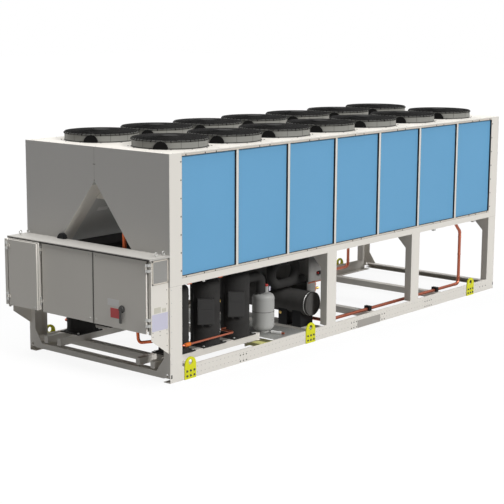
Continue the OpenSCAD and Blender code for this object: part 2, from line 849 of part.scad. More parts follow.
module fan_covers() {
    wall_r = ring_r + ring_t + stock;
    z = deck_z + ring_foot_t;
    color(black) every_fan() rotate(cover_turn) difference() {
        intersection() {
            translate([ring_r, 0, z]) rotate([0, 90, 0]) cylinder(r = cover_r, h = ring_t + cover_d);
            box([0, -cover_r, z], [ring_r + ring_t + cover_d, cover_r, z + cover_r + cut]);
        }
        translate([0, 0, z - cut]) cylinder(r = wall_r, h = cover_r + 3 * cut);
    }
}

// Control cabinet

main_edge = front_x - cabinet_depth;
deep_edge = front_x - deep_box_depth;
main_face = main_edge - door_stand;
deep_face = deep_edge - door_stand;
inner_half = cabinet_half_w - cabinet_t;
floor_z = cabinet_z + floor_lift;

module cabinet_back() {
    color(galvanised) box([front_x - cabinet_t, -inner_half, floor_z + cabinet_t],
        [front_x, inner_half, cabinet_top_z]);
}

module cabinet_floor() {
    color(ivory) box([main_edge + cabinet_t, -inner_half, floor_z],
        [front_x, inner_half, floor_z + cabinet_t]);
}

// A side wall with the flange that carries its door's hinges, on the near side
module cabinet_side(edge) {
    flange_y = -cabinet_half_w + hinge_flange;
    box([edge, -cabinet_half_w, cabinet_z], [front_x, -inner_half, cabinet_top_z]);
    box([edge, -cabinet_half_w, cabinet_z], [edge + cabinet_t, flange_y, cabinet_top_z]);
}

module cabinet_sides() {
    color(ivory) {
        cabinet_side(main_edge);
        mirror([0, 1, 0]) cabinet_side(deep_edge);
    }
}

deep_top_z = cabinet_top_z - stock;
module deep_box_sheets() {
    y0 = deep_box_y + cabinet_t + stock;
    y1 = inner_half - stock;
    color(ivory) {
        box([deep_edge, deep_box_y, floor_z + cabinet_t],
            [front_x - cabinet_t, deep_box_y + cabinet_t, deep_top_z]);
        for (z = [floor_z, deep_top_z - cabinet_t])
            box([deep_edge + cabinet_t + stock, y0, z], [main_edge + cabinet_t - stock, y1, z + cabinet_t]);
    }
}

module cabinet_roof() {
    color(ivory) box([main_edge - roof_overhang, -half_w, cabinet_top_z],
        [front_x, half_w, cabinet_top_z + roof_t]);
}

module cabinet_brackets() {
    side = [[main_edge, cabinet_z - bracket_front_h], [front_x, cabinet_z - bracket_back_h],
        [front_x, cabinet_z], [main_edge, cabinet_z]];
    color(ivory) both_sides() translate([0, -inner_half, 0]) rotate([90, 0, 0])
        linear_extrude(cabinet_t) polygon(side);
}

module cabinet_vents() {
    slot = (vent_h - 2 * vent_rim) / vent_slats;
    x1 = front_x - vent_back;
    x0 = x1 - vent_w;
    z1 = cabinet_top_z - vent_drop;
    z0 = z1 - vent_h;
    face = -cabinet_half_w - vent_t;
    color(ivory) both_sides() difference() {
        box([x0, face, z0], [x1, -cabinet_half_w, z1]);
        for (k = [0 : vent_slats - 1])
            box([x0 + vent_rim, face - cut, z0 + vent_rim + k * slot],
                [x1 - vent_rim, face + vent_t / 2, z0 + vent_rim + (k + 0.5) * slot]);
    }
}

module cabinet_eye_bolts() {
    y = half_w - eye_inset;
    z = cabinet_top_z + roof_t;
    color(galvanised) both_sides() for (d = [eye_front_at, eye_back_at]) translate([front_x - d, -y, z]) {
        cylinder(r = eye_wire + eye_collar, h = eye_stem);
        translate([0, 0, eye_stem + eye_r]) rotate([90, 0, 0])
            rotate_extrude() translate([eye_r, 0]) circle(eye_wire, $fn = 24);
    }
}

// Doors: trays of folded sheet over the cabinet's edges, hinged on pins beside their outer edges

door_z = floor_z;
door_top_z = cabinet_top_z - door_gap;
outer_axis_y = cabinet_half_w - hinge_flange;
near_axis = [main_face - hinge_off, -outer_axis_y];
middle_axis = [main_face - hinge_off, deep_box_y - hinge_off];
deep_axis = [deep_face - hinge_off, outer_axis_y];
hinge_heights = [door_z + hinge_inset, door_top_z - hinge_inset];

// A tray with its open side to +X
module door_tray(face, y0, y1, z0, z1) {
    difference() {
        box([face, y0, z0], [face + door_t, y1, z1]);
        box([face + door_sheet, y0 + door_sheet, z0 + door_sheet],
            [face + door_t + cut, y1 - door_sheet, z1 - door_sheet]);
    }
}

// Knuckle that turns with the door, with its strap over the door's face
module door_knuckle(axis, z, towards) {
    strap_t = hinge_off - pin_gap;
    translate([axis[0], axis[1], z]) difference() {
        union() {
            cylinder(r = knuckle_r, h = knuckle_h);
            translate([hinge_off - strap_t, towards > 0 ? 0 : -strap_len, 0])
                cube([strap_t, strap_len, knuckle_h]);
        }
        translate([0, 0, -cut]) cylinder(r = hinge_pin_r + pin_gap, h = knuckle_h + 2 * cut);
    }
}

// Pin with its two fixed knuckles; their blocks reach back to the sheet that carries them
module fixed_hinge(axis, z, block_x, block_y0, block_y1) {
    for (dz = [-knuckle_h - pin_gap, knuckle_h + pin_gap]) {
        translate([axis[0], axis[1], z + dz]) cylinder(r = knuckle_r, h = knuckle_h);
        box([axis[0], block_y0, z + dz], [block_x, block_y1, z + dz + knuckle_h]);
    }
    translate([axis[0], axis[1], z - knuckle_h]) cylinder(r = hinge_pin_r, h = 3 * knuckle_h);
}

module cabinet_hinges() {
    leaf = hinge_flange - cabinet_t;
    color(galvanised) for (z = hinge_heights) {
        fixed_hinge(near_axis, z, main_edge, near_axis[1] - leaf, near_axis[1]);
        fixed_hinge(middle_axis, z, middle_axis[0] + hinge_pin_r, middle_axis[1], deep_box_y);
        fixed_hinge(deep_axis, z, deep_edge, deep_axis[1], deep_axis[1] + leaf);
    }
}

// A whole door between two edges, with its knuckles on one of them
module door(face, y0, y1, axis, towards) {
    color(ivory) {
        door_tray(face, y0, y1, door_z, door_top_z);
        for (z = hinge_heights) door_knuckle(axis, z, towards);
    }
}

module door_near() {
    door(main_face, near_axis[1] + hinge_off, doors_meet_y - door_gap / 2, near_axis, 1);
}

module door_middle() {
    door(main_face, doors_meet_y + door_gap / 2, middle_axis[1] - hinge_off, middle_axis, -1);
}

module door_deep() {
    door(deep_face, deep_box_y, deep_axis[1] - hinge_off, deep_axis, -1);
}

// Rotary isolator on the near door

module isolator_base() {
    color(black) translate([main_face, isolator_y, isolator_z]) rotate([0, -90, 0]) difference() {
        cylinder(r = isolator_r, h = isolator_base_t);
        translate([0, 0, -cut]) cylinder(r = spindle_r + pin_gap, h = isolator_base_t + 2 * cut);
    }
}

module isolator_handle() {
    boss_r = isolator_r * 0.8;
    color(black) translate([main_face, isolator_y, isolator_z]) rotate([0, -90, 0])
        translate([0, 0, pin_gap]) {
            cylinder(r = spindle_r, h = isolator_base_t + boss_t);
            translate([0, 0, isolator_base_t]) cylinder(r = boss_r, h = boss_t);
            translate([-lever_len, -lever_w / 2, isolator_base_t + boss_t / 2])
                cube([lever_len, lever_w, lever_t]);
        }
}

// Machine bay

comp_z = beam_top + comp_rail_h;
jacket_z = comp_z + foot_t;
function comp_x(k) = at(comp_at + k * comp_pitch);
function arc(centre, r, a0, a1, steps) = [for (k = [0 : steps])
    let (a = a0 + (a1 - a0) * k / steps) centre + r * [cos(a), sin(a)]];

// Places its children at the three compressors of each side, at the top of their feet
module every_compressor() {
    both_sides() for (k = [0 : 2]) translate([comp_x(k), -comp_y, jacket_z]) children();
}

module compressors() {
    shoulder = arc([comp_r - comp_shoulder, comp_h - comp_shoulder], comp_shoulder, 0, 90, 5);
    color(black) every_compressor() {
        rotate_extrude() polygon(concat([[0, 0], [comp_r, 0]], shoulder, [[0, comp_h]]));
        box([-foot_l / 2, -foot_w / 2, -foot_t], [foot_l / 2, foot_w / 2, 0]);
    }
}

module terminal_boxes() {
    color(black) every_compressor() rotate(terminal_turn) difference() {
        box([-terminal_w / 2, -comp_r - terminal_d, terminal_up],
            [terminal_w / 2, 0, terminal_up + terminal_h]);
        cylinder(r = comp_r + stock, h = comp_h);
    }
}

receiver_z = rail_h + tray_t;
module receivers() {
    inner = receiver_r - receiver_round;
    low = arc([inner, receiver_foot + receiver_round], receiver_round, -90, 0, 5);
    high = arc([inner, receiver_h - receiver_round], receiver_round, 0, 90, 5);
    color(galvanised) both_sides() translate([at(receiver_at), -comp_y, receiver_z]) {
        rotate_extrude() polygon(concat([[0, 0], [inner, 0]], low, high, [[0, receiver_h]]));
        translate([-receiver_port, 0, receiver_h - inlet_h]) cylinder(r = inlet_r, h = 2 * inlet_h);
        translate([receiver_port, 0, receiver_h - inlet_h]) {
            cylinder(r = valve_r, h = inlet_h + valve_h);
            cylinder(r = valve_cap_r, h = inlet_h + valve_h + valve_cap_h);
        }
    }
}

module evaporator() {
    x0 = at(evap_at);
    x1 = x0 + evap_l;
    z1 = evap_z + evap_h;
    jacket = [[x0, evap_z], [x1, evap_z], [x1, z1 - evap_bevel], [x1 - evap_bevel, z1],
        [x0 + evap_bevel, z1], [x0, z1 - evap_bevel]];
    color(black) translate([0, evap_half_w, 0]) rotate([90, 0, 0])
        linear_extrude(2 * evap_half_w) polygon(jacket);
}

module water_header() {
    fitting = 2;
    riser_x = at(evap_at) + evap_l / 2;
    color(black) {
        translate([at(header_at), 0, header_z]) rotate([90, 0, 0]) {
            cylinder(r = header_r, h = 2 * header_reach, center = true);
            cylinder(r = cap_r, h = 2 * (header_reach + cap_len), center = true);
        }
        both_sides() pipe([[at(header_at), -riser_y, header_z], [riser_x, -riser_y, header_z],
            [riser_x, -riser_y, evap_z]], riser_r, riser_bend, fitting);
    }
}

liquid_z = beam_top + liquid_r + liquid_lift;
module pipe_supports() {
    block_x0 = at(header_at) - carrier_w / 2;
    color(black) both_sides() {
        for (y = [block_inner_y, block_outer_y]) difference() {
            box([block_x0, -y - block_len / 2, carrier_z + carrier_h],
                [block_x0 + carrier_w, -y + block_len / 2, header_z - header_r / 2]);
            translate([at(header_at), -y, header_z]) rotate([90, 0, 0])
                cylinder(r = header_r + stock, h = block_len + 2 * cut, center = true);
        }
        for (d = [middle_beam_at, rear_beam_at]) difference() {
            box([at(d) - clamp_w / 2, -liquid_y - liquid_r - clamp_wall, beam_top],
                [at(d) + clamp_w / 2, -liquid_y + liquid_r + clamp_wall, liquid_z + liquid_r + clamp_wall]);
            translate([at(d), -liquid_y, liquid_z]) rotate([0, 90, 0])
                cylinder(r = liquid_r + stock, h = clamp_w + 2 * cut, center = true);
        }
    }
}

tunnel_pipe_z = coil_bottom_z + tunnel_pipe_r + stock;
module jacketed_pipes() {
    fitting = 2;
    inlet_x = at(receiver_at) - receiver_port;
    inlet_z = jacket_z + comp_h - jacket_r - comp_shoulder;
    return_z = evap_z + jacket_r + stock;
    color(black) both_sides() {
        pipe([[comp_x(2) + comp_r + stock, -comp_y, inlet_z], [inlet_x, -comp_y, inlet_z],
            [inlet_x, -comp_y, receiver_z + receiver_h + inlet_h]], jacket_r, inlet_bend, fitting);
        pipe([[at(evap_at), -return_y, return_z], [at(return_at), -return_y, return_z],
            [at(return_at), -return_y, return_z + 2 * jacket_bend],
            [at(evap_at), -return_y, return_z + 2 * jacket_bend]], jacket_r, jacket_bend, fitting);
        rod([front_x + end_t + stock, -tunnel_pipe_y, tunnel_pipe_z],
            [rear_x - end_t - stock, -tunnel_pipe_y, tunnel_pipe_z], tunnel_pipe_r);
    }
}

module liquid_line() {
    fitting = 1.5;
    x0 = at(liquid_drop_at);
    x1 = rear_x - riser_inset;
    z1 = bay_top_z - riser_drop;
    pipe([[x0, -liquid_drop_y, evap_z - stock], [x0, -liquid_drop_y, liquid_z], [x0, -liquid_y, liquid_z],
        [x1, -liquid_y, liquid_z], [x1, -liquid_y, z1], [x1 - riser_lean, -liquid_y, z1 + riser_lean]],
        liquid_r, liquid_bend, fitting);
}

// A line from the first compressor's side past the second one to the third, with a sleeve near its start
module oil_line() {
    fitting = 1.5;
    y = -comp_y - comp_r - 2 * oil_bend / 3 - oil_r;
    out = sleeve_l / 2 + oil_bend;
    x0 = comp_x(0) - out;
    x1 = (comp_x(1) + comp_x(2)) / 2;
    wall = sqrt(pow(comp_r, 2) - pow(out - oil_r, 2)) + stock;
    pipe([[x0, -comp_y - wall, oil_z], [x0, y, oil_z], [x1, y, oil_z], [x1, -comp_y, oil_z],
        [comp_x(2) - comp_r - stock, -comp_y, oil_z]], oil_r, oil_bend, fitting);
    rod([comp_x(0) + sleeve_l / 2, y, oil_z], [comp_x(0) - sleeve_l / 2, y, oil_z], sleeve_r);
}

// The feeds of the inner coils stand on the near pipe of the tunnel
module copper_lines() {
    feed_low = tunnel_pipe_z + tunnel_pipe_r + stock;
    feed_high = tunnel_z(tunnel_pipe_y + oil_r) - stock;
    color(copper) {
        both_sides() {
            liquid_line();
            oil_line();
        }
        for (i = [0 : fans_per_row - 1])
            rod([line_x(i) + feed_at, -tunnel_pipe_y, feed_low],
                [line_x(i) + feed_at, -tunnel_pipe_y, feed_high], oil_r);
    }
}

base_rails();
base_beams();
bay_tray();
compressor_rails();
posts();
gussets();
lifting_plates();
upper_rails();
upper_cross_beams();
corner_posts();
deck_frame();
mullions();
coil_panels();
inner_coils();
coil_carriers();
end_sheets();
end_liners();
fan_deck();
fan_rings();
fan_guards_near();
fan_guards_far();
fan_motors();
fan_rotors();
fan_covers();
cabinet_back();
cabinet_floor();
cabinet_sides();
deep_box_sheets();
cabinet_roof();
cabinet_brackets();
cabinet_vents();
cabinet_eye_bolts();
cabinet_hinges();
door_deep();
door_middle();
door_near();
isolator_base();
isolator_handle();
compressors();
terminal_boxes();
receivers();
evaporator();
water_header();
pipe_supports();
jacketed_pipes();
copper_lines();
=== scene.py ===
import itertools
import json
import math

import bmesh
import bpy
import numpy as np
from mathutils import Matrix, Vector


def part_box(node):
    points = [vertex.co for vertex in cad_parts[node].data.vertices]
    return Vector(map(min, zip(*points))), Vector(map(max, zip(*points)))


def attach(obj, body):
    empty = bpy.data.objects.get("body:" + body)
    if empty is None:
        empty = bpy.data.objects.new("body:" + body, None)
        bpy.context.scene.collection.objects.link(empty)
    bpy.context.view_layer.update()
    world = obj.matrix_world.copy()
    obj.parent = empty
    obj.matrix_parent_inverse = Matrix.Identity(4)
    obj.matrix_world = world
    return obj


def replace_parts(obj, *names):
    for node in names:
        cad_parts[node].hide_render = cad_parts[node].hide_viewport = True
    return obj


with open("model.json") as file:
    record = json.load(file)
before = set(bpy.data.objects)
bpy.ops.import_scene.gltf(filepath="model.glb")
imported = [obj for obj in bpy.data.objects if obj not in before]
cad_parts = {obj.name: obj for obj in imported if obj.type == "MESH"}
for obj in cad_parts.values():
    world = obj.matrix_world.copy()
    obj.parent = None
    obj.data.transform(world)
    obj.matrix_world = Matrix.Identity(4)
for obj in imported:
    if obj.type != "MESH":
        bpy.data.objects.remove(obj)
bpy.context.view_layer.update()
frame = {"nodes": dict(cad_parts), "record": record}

# Main places of the unit, read from the solids, and the sizes that its details share, in metres
FRONT_X, REAR_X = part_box("posts")[0].x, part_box("posts")[1].x
SIDE_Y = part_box("posts")[1].y
DECK_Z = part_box("fan_deck")[1].z
RING_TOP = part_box("fan_rings")[1].z
RAIL_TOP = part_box("base_rails")[1].z
BAY_TOP, COIL_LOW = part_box("upper_rails")[0].z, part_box("upper_rails")[1].z
COIL_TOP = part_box("coil_panels")[1].z
ROOF_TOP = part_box("cabinet_roof")[1].z
KNUCKLE_PROUD = 0.015
MAIN_DOOR_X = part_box("door_near")[0].x + KNUCKLE_PROUD
DEEP_DOOR_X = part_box("door_deep")[0].x + KNUCKLE_PROUD
FAN_PITCH, FANS = 0.9, 7
FIRST_LINE = FRONT_X + 0.178
FAN_Y = 0.535
RING_OUT = 0.420
ROW_Y = 0.740
COMPRESSOR_X = [FRONT_X + 0.455 + 0.513 * k for k in range(3)]
COMPRESSOR_R = 0.166
FOOT_TOP = 0.212
TERMINAL_REACH = COMPRESSOR_R + 0.050
BEAM_TOP = 0.122
POST_W = 0.185
MULLION_W = 0.036
PANEL_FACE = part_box("coil_panels")[1].y
RECEIVER_X, RECEIVER_R, RECEIVER_Z = FRONT_X + 1.990, 0.132, 0.154
HEADER_X, HEADER_Z, HEADER_R = FRONT_X + 2.737, 0.385, 0.149
LIFT_X = [FRONT_X + d for d in (0.303, 2.409, 6.026)]
LIFT_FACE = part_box("lifting_plates")[1].y
CABINET_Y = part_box("cabinet_sides")[1].y
NEAR, FAR = -1, 1
SIDES = (NEAR, FAR)
module_lines = [FIRST_LINE + FAN_PITCH * i for i in range(FANS + 1)]
fan_centres = [(FIRST_LINE + FAN_PITCH * (i + 0.5), side * FAN_Y) for side in SIDES for i in range(FANS)]


class Value:
    """One output of a node. Sums with it add Math nodes."""

    def __init__(self, nodes, socket):
        self.nodes, self.socket = nodes, socket

    def sum(self, operation, a, b):
        return self.nodes.node("ShaderNodeMath", {"operation": operation}, {0: a, 1: b})

    def __add__(self, other):
        return self.sum("ADD", self, other)

    def __sub__(self, other):
        return self.sum("SUBTRACT", self, other)

    def __rsub__(self, other):
        return self.sum("SUBTRACT", other, self)

    def __mul__(self, other):
        return self.sum("MULTIPLY", self, other)

    def __truediv__(self, other):
        return self.sum("DIVIDE", self, other)

    def __mod__(self, other):
        return self.sum("FLOORED_MODULO", self, other)

    def __gt__(self, other):
        return self.sum("GREATER_THAN", self, other)

    __radd__, __rmul__ = __add__, __mul__


class Nodes:
    """The nodes of one shader tree."""

    def __init__(self, tree):
        self.tree = tree

    def join(self, socket, value):
        if isinstance(value, Value):
            self.tree.links.new(value.socket, socket)
        else:
            socket.default_value = value

    def node(self, kind, settings=None, sockets=None, output=0):
        """Adds a node: its settings first, then the values or links of its sockets."""
        made = self.tree.nodes.new(kind)
        for name, setting in (settings or {}).items():
            setattr(made, name, setting)
        for key, value in (sockets or {}).items():
            self.join(made.inputs[key], value)
        return Value(self, made.outputs[output])

    def seen(self):
        """1 where the camera, a reflection or a clear surface sees this, 0 for the light that it throws."""
        kinds = ("Camera", "Glossy", "Transmission")
        camera, glossy, clear = (self.node("ShaderNodeLightPath", output=f"Is {kind} Ray") for kind in kinds)
        return camera.sum("MAXIMUM", camera.sum("MAXIMUM", camera, glossy), clear)


class Finish(Nodes):
    """A surface finish: a Principled shader with nodes that vary it."""

    def __init__(self, name, slot, colour, roughness, metallic=0.0, specular=0.5):
        self.slot = slot
        self.material = bpy.data.materials.new(name)
        self.material.use_nodes = True
        super().__init__(self.material.node_tree)
        self.shader = self.tree.nodes["Principled BSDF"]
        self.colour = (*colour, 1.0)
        self.put("Base Color", self.colour)
        self.put("Roughness", roughness)
        self.put("Metallic", metallic)
        self.put("Specular IOR Level", specular)
        self.place = self.node("ShaderNodeTexCoord", output="Object")

    def put(self, name, value):
        self.join(self.shader.inputs[name], value)

    def axis(self, name):
        return self.node("ShaderNodeSeparateXYZ", sockets={0: self.place}, output=name)

    def noise(self, scale, detail=2.0, stretch=(1, 1, 1)):
        """Cloudy variation from 0 to 1, with this many clouds to a metre."""
        place = self.node("ShaderNodeVectorMath", {"operation": "MULTIPLY"}, {0: self.place, 1: stretch})
        return self.node("ShaderNodeTexNoise", None, {"Vector": place, "Scale": scale, "Detail": detail})

    def cells(self, scale, output="Distance"):
        return self.node("ShaderNodeTexVoronoi", None, {"Vector": self.place, "Scale": scale}, output)

    def blend(self, first, second, share):
        """The colour between two colours."""
        return self.node("ShaderNodeMix", {"data_type": "RGBA"}, {0: share, 6: first, 7: second}, 2)

    def shade(self, depth):
        """The finish's own colour, darker by a share that varies."""
        return self.blend(self.colour, (0, 0, 0, 1), depth)

    def emboss(self, height, distance, strength):
        sockets = {"Height": height, "Distance": distance, "Strength": strength}
        self.put("Normal", self.node("ShaderNodeBump", None, sockets))


def powder_coat(name, colour, slot="ivory_paint"):
    """Sprayed paint on sheet steel: fine orange peel, faint clouds and a little dust low down."""
    coat = Finish(name, slot, colour, 0.5, specular=0.35)
    clouds = coat.noise(0.8)
    streaks = coat.noise(9, 3, (1, 1, 0.12))
    low = (0.35 - coat.axis("Z")) * 2.2
    dust = coat.noise(22, 3) * (low * (low > 0)) * 0.10
    coat.put("Base Color", coat.shade(clouds * 0.035 + streaks * 0.02 + dust))
    coat.put("Roughness", 0.44 + clouds * 0.12)
    coat.emboss(coat.noise(320, 1), 0.0006, 0.25)
    return coat


TUBE_PITCH, FIN_PITCH = 0.0125, 0.0032


def finned_face(name, slot, colour, depth, specular):
    """Face of a coil: flat tubes across it with rows of thin fins between them, and the gaps between the fins
    darkened as painted shade.
    """
    face = Finish(name, slot, colour, 0.55, specular=specular)
    across = face.axis("Z") / TUBE_PITCH % 1.0
    along = face.axis("X") / FIN_PITCH % 1.0
    tube = (across > 0.82) * 1.0
    fin = (along > 0.5) * (1 - tube)
    patches = face.noise(1.4)
    # Painted shade: where there is no fin the colour is darker by depth, as the shade in the gaps; the tube
    # rows are a little darker too
    face.put("Base Color", face.shade((1 - fin) * depth + tube * depth * 0.4 + patches * 0.05))
    face.put("Roughness", 0.5 + patches * 0.15)
    face.emboss(fin + tube * 0.7, 0.0015, 0.3)
    return face


def spangled_zinc(name, slot, colour):
    """Hot-dipped sheet with crystal spangles."""
    zinc = Finish(name, slot, colour, 0.45, 0.75)
    spangle = zinc.cells(60, "Color")
    grey = zinc.node("ShaderNodeSeparateColor", None, {0: spangle})
    smudge = zinc.noise(4, 3)
    zinc.put("Base Color", zinc.shade(grey * 0.16 + smudge * 0.12))
    zinc.put("Roughness", 0.36 + grey * 0.14 + smudge * 0.1)
    return zinc


def moulded_plastic(name, colour, roughness=0.55, specular=0.3, slot="black_plastic"):
    """Moulded plastic with a spark-eroded grain."""
    plastic = Finish(name, slot, colour, roughness, specular=specular)
    bloom = plastic.noise(5, 3)
    plastic.put("Base Color", plastic.shade(bloom * 0.18))
    plastic.put("Roughness", roughness - 0.08 + bloom * 0.16)
    plastic.emboss(plastic.noise(700, 1), 0.0004, 0.3)
    return plastic


def foam_jacket(name, colour):
    """Closed-cell insulation: a dull skin with pores and soft dents, with painted shade darkening the dents
    and pores.
    """
    foam = Finish(name, "black_jacket", colour, 0.85, specular=0.2)
    pores = foam.cells(260)
    dents = foam.noise(7, 2)
    # Painted shade: the colour is darker in the dents and pores
    foam.put("Base Color", foam.shade(dents * 0.35 + pores * 0.15))
    foam.put("Roughness", 0.78 + dents * 0.14)
    foam.emboss(pores * 0.3 + dents * 3, 0.003, 0.35)
    return foam


def drawn_metal(name, slot, colour, roughness, tarnish):
    """Bare tube or turned metal with drawing marks and darker tarnish."""
    metal = Finish(name, slot, colour, roughness, 0.85)
    stain = metal.noise(11, 4)
    marks = metal.noise(45, 2, (0.15, 1, 1))
    share = stain * 0.7 + marks * 0.25
    metal.put("Base Color", metal.blend(metal.colour, (*tarnish, 1.0), share))
    metal.put("Roughness", roughness + stain * 0.22)
    metal.emboss(marks, 0.0005, 0.2)
    return metal


ivory = powder_coat("ivory powder coat", (0.735, 0.705, 0.650))
strip_coat = powder_coat("beige strip coat", (0.60, 0.555, 0.49))
seam_shade = powder_coat("shaded seam", (0.30, 0.285, 0.26))
# Painted shade: the end sheets take a greyer, darker copy of the ivory paint, as the shade on them
end_shade_coat = powder_coat("end sheet coat in painted shade", (0.59, 0.577, 0.553))
# Painted shade: the cabinet roof takes a darker copy of the ivory paint, as the shade it lies in
roof_shade_coat = powder_coat("cabinet roof coat in painted shade", (0.47, 0.455, 0.425))
ring_coat = powder_coat("grey ring coat", (0.225, 0.225, 0.208), slot="ring_paint")
receiver_coat = powder_coat("grey vessel paint", (0.40, 0.40, 0.385), slot="grey_paint")
lifting_coat = powder_coat("yellow green safety paint", (0.68, 0.68, 0.012), slot="lifting_yellow")
coil_blue = finned_face("blue coil face", "blue_coil", (0.155, 0.400, 0.650), 0.10, 0.2)
coil_fins = finned_face("dull aluminium fins", "coil_fins", (0.66, 0.66, 0.64), 0.16, 0.3)
zinc = spangled_zinc("zinc coated sheet", "zinc_steel", (0.56, 0.56, 0.54))
plastic = moulded_plastic("matt black plastic", (0.014, 0.014, 0.015), specular=0.15)
guard_coat = moulded_plastic("black wire coat", (0.022, 0.0215, 0.021), 0.65, 0.05)
cover_coat = moulded_plastic("dull black cover", (0.013, 0.013, 0.013), 0.9, 0.0)
terminal_plastic = moulded_plastic("grey black plastic", (0.036, 0.035, 0.034))
handle_plastic = moulded_plastic("dark grey plastic", (0.085, 0.083, 0.080))
jacket = foam_jacket("black insulation", (0.040, 0.0385, 0.037))
# Painted light: the water header takes a lighter copy of the black insulation, as the light on it inside the
# bay
header_jacket_lit = foam_jacket("header insulation lightened as painted light", (0.112, 0.108, 0.103))
# Partly painted light: the evaporator's grey insulation is made lighter to stand for light that reaches it in
# the bay
vessel_jacket_lit = foam_jacket("grey insulation lightened as painted light", (0.30, 0.292, 0.279))
copper = drawn_metal("drawn copper", "copper", (0.58, 0.18, 0.105), 0.28, (0.26, 0.07, 0.04))
orange_copper = drawn_metal("bright copper", "copper", (0.62, 0.15, 0.055), 0.40, (0.42, 0.09, 0.035))
brass = drawn_metal("turned brass", "zinc_steel", (0.72, 0.50, 0.16), 0.26, (0.40, 0.27, 0.09))
screw_steel = drawn_metal("dark screw steel", "zinc_steel", (0.13, 0.125, 0.115), 0.38, (0.05, 0.048, 0.045))
bright_steel = drawn_metal("bright steel", "zinc_steel", (0.66, 0.66, 0.64), 0.28, (0.42, 0.42, 0.40))
# Painted shade: a dark finish for discs and slots drawn where holes show their shaded inside
hole_shade = moulded_plastic("painted hole shade", (0.012, 0.012, 0.012), 0.9)
# Dark rubber finish, used for real gaskets and for strips of painted shadow in gaps
rubber_and_gap_shade = moulded_plastic("dark rubber and painted gap shade", (0.030, 0.028, 0.027), 0.8)
mesh_coat = powder_coat("vent mesh", (0.30, 0.295, 0.28))
red_plastic = moulded_plastic("red plastic", (0.45, 0.03, 0.025))
white_plastic = moulded_plastic("white plastic", (0.80, 0.80, 0.78))
orange_sleeve = moulded_plastic("orange sleeve", (0.78, 0.19, 0.03), slot="copper")
blank_red = powder_coat("blank red plate", (0.62, 0.09, 0.09))
blank_pale = powder_coat("blank pale plate", (0.80, 0.79, 0.77))
blank_beige = powder_coat("blank beige plate", (0.56, 0.54, 0.46))
blank_lilac = powder_coat("blank lilac sheet", (0.56, 0.55, 0.66))
step_coat = powder_coat("pale yellow step paint", (0.62, 0.60, 0.22), slot="lifting_yellow")
step_grip = powder_coat("olive step grip", (0.105, 0.100, 0.035), slot="lifting_yellow")
splice_coat = powder_coat("splice plate paint", (0.36, 0.34, 0.31))

# Each CAD node takes the finish of its slot, and a few nodes take a finish of their own: the roof and end
# sheets darker copies of the ivory paint as painted shade, the header and evaporator insulation lightened as
# painted light
slot_finishes = {f.slot: f for f in (ivory, ring_coat, receiver_coat, lifting_coat, coil_blue, coil_fins,
                                     zinc, plastic, jacket, copper)}
own_finishes = {"evaporator": vessel_jacket_lit, "water_header": header_jacket_lit, "end_sheets": end_shade_coat,
                "cabinet_roof": roof_shade_coat, "terminal_boxes": terminal_plastic, "fan_covers": cover_coat,
                "isolator_handle": handle_plastic, "isolator_base": handle_plastic}
for row in frame["record"]["subparts"]:
    finish = own_finishes.get(row["node"], slot_finishes[row["material_slot"]])
    for slot in frame["nodes"][row["node"]].material_slots:
        slot.material = finish.material

BOX_CORNERS = list(itertools.product((0, 1), repeat=3))
CREASE = math.radians(35)


def spokes_about(axis, count):
    """An axis of unit length and the spokes round it."""
    w = Vector(axis).normalized()
    u = w.orthogonal().normalized()
    angles = np.arange(count) * 2 * np.pi / count
    return np.array(w), np.outer(np.cos(angles), u) + np.outer(np.sin(angles), w.cross(u))


